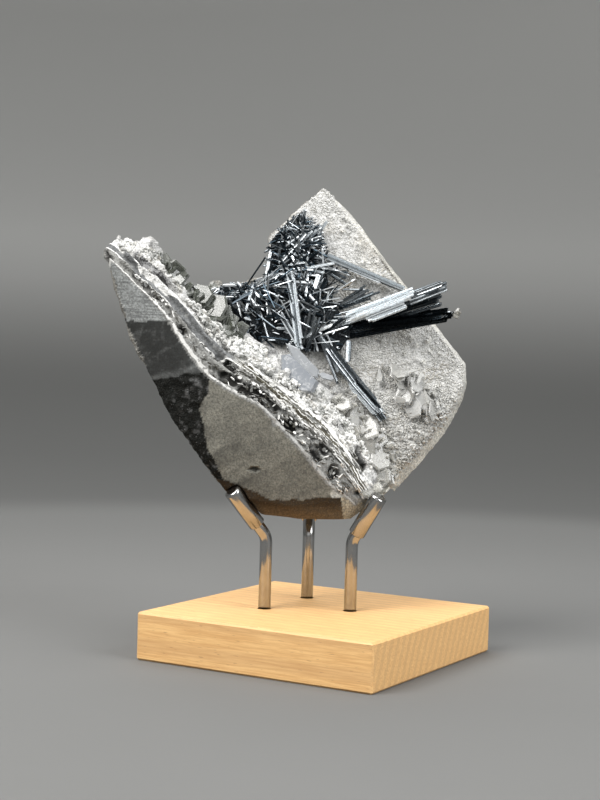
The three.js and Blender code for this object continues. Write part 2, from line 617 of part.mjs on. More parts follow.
const rock = fuse(rockMasses)
  .subtract(fuse([...POCKETS.map(pocket), CRACK]))
  .add(fuse(rockGrowth))
  .subtract(sleeveRoom);
const rockRoom = fuse([...rockMasses, ...rockGrowth], GAP);

const stibniteForms = [...STIBNITE_BED, ...SHEAVES.flatMap(sheaf), ...strayNeedles()];
const stibnite = fuse(stibniteForms).subtract(rockRoom);
const bariteBounds = rockRoom.add(fuse(stibniteForms, GAP));

// ---------- the scene graph ----------

const finish = (color, roughness, metalness = 0, more = {}) =>
  new THREE.MeshStandardMaterial({ color, roughness, metalness, flatShading: true, ...more });

const MATERIALS = {
  beech: finish(0xd9b27c, 0.6),
  steel: finish(0xb9b7b0, 0.2, 1),
  rock: finish(0x8f8d88, 0.85),
  barite: finish(0xd8d6cc, 0.25, 0, { transparent: true, opacity: 0.8 }),
  stibnite: finish(0x4a5258, 0.25, 1),
};

function named(name, geometry, material) {
  const mesh = new THREE.Mesh(geometry, material);
  mesh.name = name;
  return mesh;
}

const part = new THREE.Group();
part.add(named("wood_block", blockGeometry(), MATERIALS.beech));

const turned = new THREE.Group();
turned.rotation.z = TURN;
part.add(turned);

for (const [side, prong] of Object.entries(PRONGS)) {
  const { corner, arm } = prongLine(prong);
  turned.add(named(`prong_rod_${side}`, rodGeometry(prong), MATERIALS.steel));
  const sleeve = named(`prong_sleeve_${side}`, sleeveGeometry(), MATERIALS.steel);
  sleeve.position.copy(corner).addScaledVector(arm, prong.sleeve);
  sleeve.quaternion.setFromUnitVectors(V(0, 1, 0), arm);
  turned.add(sleeve);
}

turned.add(named("matrix_rock", geometryFrom(largest(rock)), MATERIALS.rock));
turned.add(named("stibnite_crystals", geometryFrom(largest(stibnite)), MATERIALS.stibnite));
for (const [name, forms] of Object.entries(BARITE))
  turned.add(named(name, geometryFrom(largest(fuse(forms).subtract(bariteBounds))), MATERIALS.barite));

export default part;
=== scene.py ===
"""Looks of a barite and stibnite specimen on its three-prong beech stand.

Sizes are millimetres in the specimen's own turned frame (x right, y away, z up) unless a name says otherwise.
place() turns them into metres in the part's frame.
"""
import math

import bmesh
import bpy
import numpy as np
from mathutils import Matrix, Vector
from mathutils.bvhtree import BVHTree
from mathutils.kdtree import KDTree


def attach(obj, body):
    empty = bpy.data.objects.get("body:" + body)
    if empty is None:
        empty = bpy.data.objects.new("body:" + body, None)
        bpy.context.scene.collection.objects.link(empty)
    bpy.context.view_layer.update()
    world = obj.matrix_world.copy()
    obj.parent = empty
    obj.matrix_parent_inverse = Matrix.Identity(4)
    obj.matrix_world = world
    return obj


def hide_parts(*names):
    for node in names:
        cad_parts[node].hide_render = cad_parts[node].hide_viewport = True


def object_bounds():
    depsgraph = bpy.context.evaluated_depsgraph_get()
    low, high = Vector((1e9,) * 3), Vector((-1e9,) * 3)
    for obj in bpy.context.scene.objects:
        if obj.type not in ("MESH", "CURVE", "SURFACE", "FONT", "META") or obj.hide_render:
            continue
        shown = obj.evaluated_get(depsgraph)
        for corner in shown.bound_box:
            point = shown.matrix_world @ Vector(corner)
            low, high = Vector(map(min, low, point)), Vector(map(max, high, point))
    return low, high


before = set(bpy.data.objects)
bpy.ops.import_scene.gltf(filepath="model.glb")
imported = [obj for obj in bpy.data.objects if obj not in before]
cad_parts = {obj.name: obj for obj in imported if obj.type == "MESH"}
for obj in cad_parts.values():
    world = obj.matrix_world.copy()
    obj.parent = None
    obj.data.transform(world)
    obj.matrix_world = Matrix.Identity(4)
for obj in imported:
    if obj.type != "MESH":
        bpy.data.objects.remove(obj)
CAD_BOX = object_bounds()

MM = 0.001
TURN = math.radians(30)
UP = np.array([0, 0, 1.0])
# the way that the brightest broad crystal faces look
LIT = (-0.31, -0.84, 0.45)
# the slab's front face is the plane y = SLAB_Y0 + SLAB_PER_X x + SLAB_PER_Z z
SLAB_Y0, SLAB_PER_X, SLAB_PER_Z = -17.1, 0.077, 0.303
# the outer and the upper edge of the vein's broken edge, from the tip down
EDGE_LINE = [
    (-66, -5, 120.5), (-49, -10, 105), (-34, -12.6, 86.5), (-19, -13, 77.7),
    (-7, -12, 65.7), (2.3, -9, 54.3), (7.8, -6.5, 49.9),
]
CREST_LINE = [
    (-62, 3, 126.5), (-50, 5.5, 120), (-31, 7, 103.4), (-18.5, 6, 95.2),
    (-4.5, 6, 88.7), (8.5, 5, 76.5), (17, 1, 61.5),
]


# ---------- frames and noise ----------


def turned(p):
    c, s = math.cos(TURN), math.sin(TURN)
    return np.column_stack([c * p[:, 0] - s * p[:, 1], s * p[:, 0] + c * p[:, 1], p[:, 2]])


def unturned(p):
    c, s = math.cos(TURN), math.sin(TURN)
    return np.column_stack([c * p[:, 0] + s * p[:, 1], -s * p[:, 0] + c * p[:, 1], p[:, 2]])


def place(points):
    return turned(np.asarray(points, float).reshape(-1, 3)) * MM


def unplace(points):
    return unturned(np.asarray(points, float).reshape(-1, 3) / MM)


def placed(point):
    return Vector(place([point])[0])


def slab_y(x, z):
    return SLAB_Y0 + SLAB_PER_X * x + SLAB_PER_Z * z


def hashed(cell, seed):
    """A repeatable number from 0 to 1 for each whole-numbered cell."""
    n = cell[:, 0] * 374761393 + cell[:, 1] * 668265263 + cell[:, 2] * 2147483647 + seed * 1274126177
    n = (n ^ (n >> 13)) * 1274126177
    return ((n ^ (n >> 16)) & 0xFFFFFF) / float(0xFFFFFF)


def noise(points, size, seed=0, octaves=1):
    """Smooth noise from -1 to 1 whose largest lumps are `size` millimetres across."""
    total, weight, norm = 0.0, 1.0, 0.0
    for octave in range(octaves):
        p = points * (2.0**octave / size)
        base = np.floor(p).astype(np.int64)
        f = p - base
        f = f * f * (3 - 2 * f)
        value = 0.0
        for corner in np.ndindex(2, 2, 2):
            share = np.prod(np.where(np.array(corner), f, 1 - f), axis=1)
            value = value + share * hashed(base + np.array(corner), seed + 17 * octave)
        total = total + weight * (2 * value - 1)
        norm += weight
        weight *= 0.5
    return total / norm


def scallops(points, size, seed):
    """Shallow bowls with sharp rims, about `size` across, as stone breaks: 0 in a bowl, 1 at a rim."""
    rng = np.random.default_rng(seed)
    low, high = points.min(0) - size, points.max(0) + size
    count = int(np.prod(high - low) / size**3)
    tree = KDTree(count)
    for i, cell in enumerate(rng.uniform(low, high, (count, 3))):
        tree.insert(cell, i)
    tree.balance()
    away = np.array([tree.find(p)[2] for p in points]) / size
    return np.clip(away * away, 0, 1)


def smooth(low, high, value):
    t = np.clip((value - low) / (high - low), 0, 1)
    return t * t * (3 - 2 * t)


def within(low, high, value, fade):
    """1 between low and high, fading out over `fade` at both ends."""
    return smooth(low, low + fade, value) * smooth(high, high - fade, value)


def blend(under, over, share):
    """`over` laid on `under`, as much as each point's share says."""
    return under * (1 - share[:, None]) + np.array(over) * share[:, None]


def shaded(hue, change):
    return hue * (1 + change)[:, None]


def inside(outline, x, z):
    """True where (x, z) is inside the closed outline."""
    hit = np.zeros(len(x), bool)
    for (ax, az), (bx, bz) in zip(outline, outline[1:] + outline[:1]):
        if az == bz:
            continue
        crosses = (az > z) != (bz > z)
        hit ^= crosses & (x < (bx - ax) * (z - az) / (bz - az) + ax)
    return hit


def along_line(line, t):
    """A Catmull-Rom curve through the line's points, at t from 0 to 1."""
    pts = np.array(line, float)
    s = min(max(t, 0), 0.99999) * (len(pts) - 1)
    i = int(s)
    u = s - i
    p1, p2 = pts[i], pts[i + 1]
    p0 = pts[i - 1] if i else 2 * p1 - p2
    p3 = pts[i + 2] if i + 2 < len(pts) else 2 * p2 - p1
    square, cube = 2 * p0 - 5 * p1 + 4 * p2 - p3, 3 * p1 - p0 - 3 * p2 + p3
    return 0.5 * (2 * p1 + (p2 - p0) * u + square * u**2 + cube * u**3)


def on_band(along, over, lift=0.0):
    """A point on the broken edge: `along` from the tip down, `over` from the outer edge to the crest."""
    outer, inner = along_line(EDGE_LINE, along), along_line(CREST_LINE, along)
    run = along_line(EDGE_LINE, along + 0.01) - along_line(EDGE_LINE, along - 0.01)
    out = np.cross(run, inner - outer)
    return outer + (inner - outer) * over + out / np.linalg.norm(out) * lift


def unit(v):
    v = np.asarray(v, float)
    return v / np.linalg.norm(v)


def axes_along(root, tip, roll=0.0):
    """The unit vector from root to tip and two more across it, turned by `roll` degrees."""
    along = unit(np.subtract(tip, root))
    aside = UP if abs(along[2]) < 0.95 else np.array([0, 1.0, 0])
    side = unit(np.cross(along, aside))
    up = np.cross(along, side)
    a = math.radians(roll)
    side = side * math.cos(a) + up * math.sin(a)
    return along, side, np.cross(along, side)


# ---------- heaps of small closed forms, joined as one mesh ----------


class Heap:
    """Collects closed forms. Each has its own tone from 0 to 1, and `tips` runs from 0 at its root to 1."""

    def __init__(self):
        self.points, self.faces, self.tones, self.tips, self.count = [], [], [], [], 0

    def add(self, points, faces, tone, tips):
        self.points.extend(points)
        self.faces.extend([tuple(i + self.count for i in face) for face in faces])
        self.tones.extend([tone] * len(points))
        self.tips.extend(tips)
        self.count += len(points)

    def loft(self, rings, tone, levels):
        """Rings of the same number of points, closed at both ends; a last ring of one point is a tip."""
        n = len(rings[0])
        points = [p for ring in rings for p in ring]
        faces = [tuple(range(n - 1, -1, -1))]
        for r in range(len(rings) - 1):
            low, high = r * n, (r + 1) * n
            for k in range(n):
                nxt = (k + 1) % n
                if len(rings[r + 1]) == 1:
                    faces.append((low + k, low + nxt, high))
                else:
                    faces.append((low + k, low + nxt, high + nxt, high + k))
        if len(rings[-1]) > 1:
            faces.append(tuple(range((len(rings) - 1) * n, len(rings) * n)))
        tips = [level for ring, level in zip(rings, levels) for _ in ring]
        self.add(points, faces, tone, tips)

    def build(self, name, material, nodes=()):
        """One piece of all the forms, in place of the solids named in `nodes`."""
        mesh = bpy.data.meshes.new(name)
        mesh.from_pydata(place(self.points).tolist(), [], self.faces)
        keep_number(mesh, "tone", self.tones)
        keep_number(mesh, "tip", self.tips)
        mesh.update()
        mesh.validate()
        turn_faces_out(mesh)
        return dress(link(name, mesh), material, nodes)


def keep_number(mesh, name, values):
    """Stores one number per point, which the materials read by name."""
    mesh.attributes.new(name, "FLOAT", "POINT").data.foreach_set("value", np.asarray(values, np.float32))


def link(name, data):
    made = bpy.data.objects.new(name, data)
    bpy.context.scene.collection.objects.link(made)
    return made


def turn_faces_out(mesh):
    work = bmesh.new()
    work.from_mesh(mesh)
    bmesh.ops.recalc_face_normals(work, faces=work.faces)
    work.to_mesh(mesh)
    work.free()


def dress(piece, material, nodes=()):
    piece.data.materials.clear()
    piece.data.materials.append(material)
    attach(piece, "root")
    if nodes:
        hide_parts(*nodes)
    return piece


def ring(centre, side, up, section):
    return [np.asarray(centre) + side * a + up * b for a, b in section]


# a quartz point's sides, the vertices of a point and of a tablet, and a board's rib width
POINT_SIDES = 4
POINT_VERTICES = 2 * POINT_SIDES + 1
TABLET_VERTICES = 3 * 6
RIB_WIDTH = 0.5


def quartz_point(heap, base, axis, size, height, rng, tone):
    """A stubby pointed crystal whose root is sunk a little below `base`."""
    along, side, up = axes_along(base, np.add(base, axis), rng.uniform(0, 90))
    turns = (np.arange(POINT_SIDES) + rng.uniform(-0.25, 0.25, POINT_SIDES)) * 2 * math.pi / POINT_SIDES
    reach = size * 0.5 * rng.uniform(0.75, 1.1, POINT_SIDES)
    section = [(r * math.cos(t), r * math.sin(t)) for r, t in zip(reach, turns)]
    root = base - along * size * 0.5
    shoulder = base + along * height * 0.45
    apex = base + along * height + side * size * rng.uniform(-0.15, 0.15)
    wide = [(a * 0.86, b * 0.86) for a, b in section]
    heap.loft([ring(root, side, up, section), ring(shoulder, side, up, wide), [apex]], tone, [0, 0.5, 1])


def tablet(heap, centre, face, top, width, height, thick, rng):
    """A tabular crystal: a six-cornered outline between two smaller faces, so its rims are bevelled."""
    out = unit(face)
    across = unit(np.cross(unit(top), out))
    up = np.cross(out, across)
    a, b = width / 2, height / 2
    corners = [(a, -b * 0.5), (a, b * 0.6), (a * 0.2, b), (-a, b * 0.7), (-a, -b * 0.6), (-a * 0.1, -b)]
    corners = [(p * rng.uniform(0.78, 1.08), q * rng.uniform(0.78, 1.08)) for p, q in corners]
    inner = [(p * 0.88, q * 0.88) for p, q in corners]
    mid = np.asarray(centre, float)
    layers = [
        ring(mid - out * thick / 2, across, up, inner),
        ring(mid, across, up, corners),
        ring(mid + out * thick / 2, across, up, inner),
    ]
    heap.loft(layers, rng.random(), [0.2, 1, 0.2])


def grooved_section(width, thick, rng, lines):
    """The flat section of a stibnite blade, with fine grooves on its two broad sides."""
    across = np.linspace(-1, 1, lines) * width / 2
    upper = [(a, thick * (0.5 - (0.12 + 0.24 * rng.random()) * (k % 2))) for k, a in enumerate(across)]
    return upper + [(a, -b) for a, b in reversed(upper)]


def stibnite_blade(heap, root, tip, width, thick, facing, rng, tone, blunt=0.42, lines=7):
    """A grooved blade whose broad side looks towards `facing`; a `blunt` near 1 ends it square."""
    root, tip = np.asarray(root, float), np.asarray(tip, float)
    along = unit(tip - root)
    side = unit(np.cross(along, facing))
    up = np.cross(along, side)
    section = grooved_section(width, thick, rng, lines)
    shoulder = tip - along * min((1.1 - blunt) * width, np.linalg.norm(tip - root) * 0.3)
    waist = root + (shoulder - root) * rng.uniform(0.4, 0.7)
    slant = rng.uniform(-0.5, 0.5)
    end = [(a * blunt, b * blunt) for a, b in section]
    rings = [ring(at, side, up, section) for at in (root, waist, shoulder)]
    rings.append([p + along * slant * a for p, (a, _) in zip(ring(tip, side, up, end), end)])
    heap.loft(rings, tone, [0, 0.5, 0.9, 1])


def stibnite_board(heap, root, tip, width, thick, facing, rng, tone, blunt):
    """A broad blade, grown as a row of thin ribs that catch the light differently, some painted darker as
    shade.
    """
    root, tip = np.asarray(root, float), np.asarray(tip, float)
    length = np.linalg.norm(tip - root)
    along = (tip - root) / length
    side = unit(np.cross(along, facing))
    ribs = max(1, round(width / RIB_WIDTH))
    for k in range(ribs):
        across = side * width * ((k + 0.5) / ribs - 0.5)
        start = root + across + along * rng.uniform(0, 0.14) * length
        end = tip + across - along * rng.uniform(0, 0.14) * length
        looks = np.array(facing) + rng.normal(0, 0.12, 3)
        # painted shade: some ribs are painted darker than the blade's tone
        shade = tone * rng.choice([1.0, 0.95, 0.8, 0.4])
        deep = thick * rng.uniform(0.7, 1.1)
        stibnite_blade(heap, start, end, width / ribs * 1.3, deep, looks, rng, shade, blunt, 5)


def stibnite_needle(heap, root, tip, width, rng):
    along, side, up = axes_along(root, tip, rng.uniform(0, 90))
    root, tip = np.asarray(root, float), np.asarray(tip, float)
    turns = np.arange(5) * 2 * math.pi / 5
    section = [(width / 2 * math.cos(t), width * 0.36 * math.sin(t)) for t in turns]
    shoulder = tip - along * width * rng.uniform(0.6, 1.8)
    tone = rng.random() ** 1.5
    heap.loft([ring(root, side, up, section), ring(shoulder, side, up, section), [tip]], tone, [0, 0.85, 1])


# ---------- material helpers ----------


# the mix node's share and its two colours
MIX_SOCKETS = (0, 6, 7)


class Shader:
    """One material's node tree, with short names for the nodes that all of them use."""

    def __init__(self, name):
        self.material = bpy.data.materials.new(name)
        self.material.use_nodes = True
        self.tree = self.material.node_tree
        self.bsdf = self.tree.nodes["Principled BSDF"]

    def node(self, kind, **inputs):
        made = self.tree.nodes.new(kind)
        for key, value in inputs.items():
            self.put(made, key.replace("_", " "), value)
        return made

    def put(self, node, key, value):
        socket = node.inputs[key]
        if isinstance(value, bpy.types.NodeSocket):
            self.tree.links.new(value, socket)
        elif isinstance(value, tuple) and len(value) == 3 and socket.type == "RGBA":
            socket.default_value = (*value, 1)
        else:
            socket.default_value = value

    def set(self, **inputs):
        for key, value in inputs.items():
            self.put(self.bsdf, key.replace("_", " "), value)

    def place(self, stretch=(1, 1, 1), turn=(0, 0, 0)):
        """Object coordinates in millimetres, stretched and turned."""
        coords = self.node("ShaderNodeTexCoord").outputs["Object"]
        mapping = self.tree.nodes.new("ShaderNodeMapping")
        self.tree.links.new(coords, mapping.inputs["Vector"])
        mapping.inputs["Rotation"].default_value = [math.radians(a) for a in turn]
        mapping.inputs["Scale"].default_value = [share / MM for share in stretch]
        return mapping.outputs["Vector"]

    def noise(self, vector, scale, detail=3.0, rough=0.55, warp=0.0):
        made = self.node("ShaderNodeTexNoise", Vector=vector, Scale=scale, Detail=detail, Roughness=rough)
        made.inputs["Distortion"].default_value = warp
        return made.outputs["Fac"]

    def cells(self, vector, scale, output="Distance"):
        return self.node("ShaderNodeTexVoronoi", Vector=vector, Scale=scale).outputs[output]

    def number(self, name, output="Fac"):
        """What the mesh keeps under this name: a number, or a colour as its output "Color"."""
        made = self.tree.nodes.new("ShaderNodeAttribute")
        made.attribute_name = name
        return made.outputs[output]

    def remap(self, value, low, high, to_low=0.0, to_high=1.0):
        made = self.tree.nodes.new("ShaderNodeMapRange")
        made.interpolation_type = "SMOOTHSTEP"
        for key, number in zip(("From Min", "From Max", "To Min", "To Max"), (low, high, to_low, to_high)):
            made.inputs[key].default_value = number
        self.put(made, "Value", value)
        return made.outputs["Result"]

    def maths(self, kind, a, b=0.0):
        made = self.tree.nodes.new("ShaderNodeMath")
        made.operation = kind
        self.put(made, 0, a)
        self.put(made, 1, b)
        return made.outputs[0]

    def times(self, a, b):
        return self.maths("MULTIPLY", a, b)

    def plus(self, a, b):
        return self.maths("ADD", a, b)

    def minus(self, a, b):
        return self.maths("SUBTRACT", a, b)

    def most(self, a, b):
        return self.maths("MAXIMUM", a, b)

    def mix(self, share, a, b):
        """Colour a where share is 0, and b where it is 1."""
        made = self.tree.nodes.new("ShaderNodeMix")
        made.data_type = "RGBA"
        for key, value in zip(MIX_SOCKETS, (share, a, b)):
            self.put(made, key, value)
        return made.outputs[2]

    def bump(self, height, distance_mm, strength=1.0, normal=None):
        made = self.node("ShaderNodeBump", Height=height, Strength=strength)
        made.inputs["Distance"].default_value = distance_mm * MM
        if normal is not None:
            self.put(made, "Normal", normal)
        return made.outputs["Normal"]


# ---------- materials ----------

QUARTZ_IOR, BARITE_IOR, CRUST_IOR = 1.544, 1.636, 1.64


def beech():
    """Pale oiled beech: growth rings run along x, so the two side faces show long grain and end grain."""
    s = Shader("beech")
    near = s.place(stretch=(0.06, 1, 1), turn=(24, 0, 0))
    wave = s.tree.nodes.new("ShaderNodeTexWave")
    wave.wave_type = "BANDS"
    wave.bands_direction = "Y"
    s.put(wave, "Vector", near)
    for key, value in {"Scale": 0.085, "Distortion": 2.2, "Detail": 3.0, "Detail Scale": 0.6}.items():
        wave.inputs[key].default_value = value
    rings = s.remap(wave.outputs["Fac"], 0.25, 0.95)
    fibre = s.noise(s.place(stretch=(0.05, 1.2, 1.2)), 1.6, 4.0, 0.65)
    flecks = s.noise(s.place(stretch=(0.32, 2.6, 2.6)), 1.0, 1.0, 0.5)
    fleck = s.remap(flecks, 0.66, 0.74, 0.0, 0.5)
    base = s.mix(s.remap(fibre, 0.3, 0.72), (0.66, 0.37, 0.145), (0.86, 0.55, 0.24))
    base = s.mix(s.times(rings, 0.36), base, (0.55, 0.32, 0.145))
    base = s.mix(fleck, base, (0.33, 0.165, 0.07))
    s.set(Base_Color=base, Roughness=s.remap(fibre, 0.2, 0.8, 0.46, 0.62))
    s.set(Normal=s.bump(s.minus(fibre, fleck), 0.08, 0.5))
    return s.material


def steel():
    """Polished steel with fine upright marks."""
    s = Shader("polished_steel")
    marks = s.noise(s.place(stretch=(6, 6, 0.6)), 1.0, 3.0, 0.6)
    haze = s.noise(s.place(), 0.4, 2.0)
    s.set(Base_Color=s.mix(haze, (0.33, 0.33, 0.325), (0.45, 0.445, 0.44)), Metallic=1.0)
    s.set(Roughness=s.remap(marks, 0.2, 0.8, 0.12, 0.24), Normal=s.bump(marks, 0.01, 0.4))
    return s.material


def rock():
    """The vein rock: `hue` holds the colours of its zones, `grit` how rough each is, and one more share where
    it is glossier and gets white flecks as a painted highlight for its sparkle.

    `band` marks the broken edge, where `over`, `level` and `along` set out its fine white lines.
    """
    s = Shader("vein_rock")
    spot = s.place()
    grit, gloss_and_painted_glint = s.number("grit"), s.number("gloss_and_painted_glint")
    fine = s.noise(spot, 1.3, 5.0, 0.72)
    grain = s.cells(spot, 1.5)
    sugar = s.cells(spot, 2.4, "Color")
    speck = s.noise(spot, 1.9, 3.0, 0.7)
    ruled = s.noise(s.place(stretch=(0.1, 0.1, 1.9)), 1.0, 2.0, 0.6)
    white = s.times(layer_lines(s, spot), s.number("band"))
    layers = [
        (s.remap(fine, 0.35, 0.7, 0.0, 0.5), (0.02, 0.02, 0.02)),
        (s.remap(speck, 0.32, 0.6, 0.55, 0.0), (0.03, 0.028, 0.025)),
        (s.times(s.remap(ruled, 0.5, 0.62, 0.0, 0.5), s.number("ruled")), (0.06, 0.062, 0.065)),
        (s.times(s.remap(speck, 0.6, 0.72), s.times(grit, 0.25)), (0.6, 0.59, 0.57)),
        # painted highlight: near-white flecks laid into the colour where the rock sparkles
        (s.times(s.remap(sugar, 0.1, 0.9, 0.0, 0.55), gloss_and_painted_glint), (0.82, 0.82, 0.82)),
        (white, (0.82, 0.815, 0.79)),
    ]
    base = s.number("hue", "Color")
    for share, colour in layers:
        base = s.mix(share, base, colour)
    streaks = s.noise(s.place(stretch=(0.5, 1, 4), turn=(0, -18, 0)), 0.6, 3.0, 0.6)
    bumps = s.bump(fine, 0.35, s.plus(s.times(grit, 0.75), 0.08))
    bumps = s.bump(grain, 0.4, s.times(grit, 0.6), bumps)
    bumps = s.bump(streaks, 0.12, 0.25, bumps)
    bumps = s.bump(white, 0.3, 0.6, bumps)
    shine = s.remap(s.number("hue", "Color"), 0.0, 0.16, 0.04, 0.45)
    rough = s.minus(s.remap(fine, 0.2, 0.8, 0.62, 0.86), s.times(gloss_and_painted_glint, 0.35))
    s.set(Base_Color=base, Normal=bumps, Specular_IOR_Level=shine, Roughness=rough)
    return s.material


# the lower half's lines: middle and half width, as shares of the broken edge's width
LOWER_LINES = ((-0.06, 0.012), (-0.02, 0.008), (0.03, 0.014), (0.07, 0.008), (0.19, 0.016))


def layer_lines(s, spot):
    """1 on the thin white lines that run along the broken edge, more of them on its lower half."""
    sway = s.remap(s.noise(spot, 0.35, 3.0, 0.6), 0.0, 1.0, -0.035, 0.035)
    level = s.plus(s.number("level"), sway)
    over = s.plus(s.number("over"), s.times(sway, 0.5))
    lower = s.remap(s.number("along"), 0.36, 0.44)
    whole = s.remap(s.noise(spot, 0.7, 2.0, 0.5), 0.34, 0.46)
    lines = s.times(line_at(s, over, 0.0, 0.022), s.remap(s.number("along"), 0.3, 0.5, 0.8, 0.3))
    for middle, half in ((-LAYER_HALF, 0.024), (LAYER_HALF, 0.036)):
        lines = s.most(lines, line_at(s, level, middle, half))
    for middle, half in LOWER_LINES:
        lines = s.most(lines, s.times(line_at(s, level, middle, half), lower))
    return s.times(lines, whole)


def line_at(s, value, middle, half):
    """1 where value is within half of the middle."""
    away = s.maths("ABSOLUTE", s.minus(value, middle))
    return s.remap(away, half * 0.4, half, 1.0, 0.0)


def quartz_druse():
    """Small frosty quartz points, greyer at their roots and rust-stained here and there."""
    s = Shader("quartz_druse")
    spot = s.place()
    tone, tip = s.number("tone"), s.number("tip")
    base = s.mix(s.remap(tip, 0.0, 1.0), (0.50, 0.495, 0.465), (0.88, 0.875, 0.845))
    # a high tone darkens the points: at random, and on the slab's lower part partly as painted shade
    base = s.mix(s.remap(tone, 0.3, 1.0, 0.0, 0.75), base, (0.29, 0.28, 0.255))
    stain = s.remap(s.noise(spot, 0.11, 3.0, 0.6), 0.5, 0.7, 0.0, 0.5)
    base = s.mix(stain, base, (0.50, 0.45, 0.36))
    s.set(Base_Color=base, Roughness=s.remap(tone, 0.0, 1.0, 0.16, 0.5))
    s.set(Transmission_Weight=0.25, IOR=QUARTZ_IOR, Specular_IOR_Level=0.6)
    s.set(Normal=s.bump(s.noise(spot, 5.0), 0.03, 0.4))
    return s.material


def vein_crust():
    """White, frosted barite grains with a few grey and brown ones."""
    s = Shader("vein_crust")
    spot = s.place()
    tone = s.number("tone")
    base = s.mix(s.remap(tone, 0.0, 0.75), (0.27, 0.275, 0.26), (0.80, 0.795, 0.77))
    dirt = s.remap(s.noise(spot, 0.35, 4.0, 0.65), 0.53, 0.68, 0.0, 0.6)
    base = s.mix(dirt, base, (0.20, 0.175, 0.13))
    s.set(Base_Color=base, Roughness=s.remap(tone, 0.0, 1.0, 0.2, 0.6))
    s.set(Transmission_Weight=0.15, IOR=CRUST_IOR)
    s.set(Normal=s.bump(s.noise(spot, 4.0), 0.05, 0.5))
    return s.material


def layer_edge():
    """The vein's layers seen edge on: olive to bluish grey, some of them bright white."""
    s = Shader("layer_edge")
    spot = s.place()
    tone = s.number("tone")
    base = s.mix(s.remap(tone, 0.1, 0.7), (0.05, 0.049, 0.04), (0.24, 0.245, 0.24))
    base = s.mix(s.remap(tone, 0.66, 0.8), base, (0.84, 0.835, 0.81))
    fine = s.noise(spot, 1.8, 4.0, 0.65)
    base = s.mix(s.remap(fine, 0.4, 0.7, 0.0, 0.5), base, (0.12, 0.11, 0.09))
    s.set(Base_Color=base, Roughness=s.remap(fine, 0.3, 0.7, 0.35, 0.75), Normal=s.bump(fine, 0.12, 0.5))
    return s.material


def stibnite():
    """Steel-grey, bluish metal: dark or bright by blade, mostly as painted light and shade, dull in patches,
    paler at tips.
    """
    s = Shader("stibnite_metal")
    spot = s.place()
    tone, tip = s.number("tone"), s.number("tip")
    tarnish = s.noise(spot, 0.5, 3.0, 0.6)
    # painted light and shade: a blade's tone sets how bright it is painted, and the brightest are less
    # metallic
    base = s.mix(s.remap(tone, 0.15, 1.0), (0.03, 0.042, 0.052), (0.77, 0.81, 0.835))
    dull = s.times(s.remap(tarnish, 0.5, 0.72, 0.0, 0.5), s.remap(tone, 0.4, 0.9, 1.0, 0.1))
    base = s.mix(dull, base, (0.05, 0.065, 0.08))
    base = s.mix(s.remap(tip, 0.9, 1.0, 0.0, 0.4), base, (0.66, 0.67, 0.67))
    s.set(Base_Color=base, Metallic=s.remap(tone, 0.55, 1.0, 1.0, 0.5))
    s.set(Roughness=s.remap(tarnish, 0.25, 0.75, 0.24, 0.34))
    return s.material


def bed_metal_and_shade():
    """The matted, dull dark bed under the needles, painted near black partly as the shade among them."""
    s = Shader("stibnite_bed")
    spot = s.place()
    mat = s.noise(spot, 1.6, 4.0, 0.7, 1.5)
    base = s.mix(s.remap(mat, 0.35, 0.7), (0.004, 0.005, 0.006), (0.05, 0.058, 0.064))
    s.set(Base_Color=base, Metallic=0.8, Roughness=0.42, Normal=s.bump(mat, 0.9, 0.9))
    return s.material


def barite(name, clear, tint, frost, milk):
    """Tabular barite: `clear` is how much light goes through, `frost` how rough it is, `milk` how veiled."""
    s = Shader(name)
    spot = s.place()
    tone, tip = s.number("tone"), s.number("tip")
    veil = s.noise(spot, 0.55, 4.0, 0.6, 0.8)
    milky = s.plus(s.remap(veil, 0.45, 0.75), s.remap(tip, 0.3, 1.0, 0.0, 0.4))
    milky = s.times(milky, milk)
    base = s.mix(s.remap(tone, 0.4, 1.0, 0.0, milk), tint, (0.84, 0.845, 0.83))
    s.set(Base_Color=s.mix(milky, base, (0.9, 0.9, 0.89)), Transmission_Weight=clear, IOR=BARITE_IOR)
    s.set(Roughness=s.plus(s.remap(veil, 0.3, 0.8, 0.04, 0.22), frost))
    steps = s.noise(s.place(stretch=(1, 1, 3)), 0.9, 3.0, 0.5)
    s.set(Normal=s.bump(steps, 0.08, 0.35))
    return s.material


def plain_floor():
    """Pale grey paper with painted light: a little darker away from the object, and lighter again where it
    rises as the wall.
    """
    s = Shader("pale_floor")
    spot = s.place()
    cloth = s.noise(spot, 0.02, 2.0)
    height = s.node("ShaderNodeSeparateXYZ", Vector=spot).outputs["Z"]
    away = s.node("ShaderNodeVectorMath", Vector=spot)
    away.operation = "LENGTH"
    away = away.outputs["Value"]
    base = s.mix(cloth, (0.126, 0.127, 0.123), (0.134, 0.134, 0.13))
    # painted shade: the floor darkens away from the object, most at the foot of the wall
    base = s.mix(s.remap(away, 150.0, 360.0), base, (0.118, 0.119, 0.115))
    base = s.mix(s.remap(away, 375.0, 475.0), base, (0.08, 0.081, 0.078))
    # painted light: the wall is painted paler the higher it rises
    base = s.mix(s.remap(height, 40.0, 200.0), base, (0.305, 0.306, 0.297))
    base = s.mix(s.remap(height, 200.0, 900.0), base, (0.68, 0.68, 0.66))
    s.set(Base_Color=base, Roughness=0.9)
    return s.material


# ---------- the rock ----------

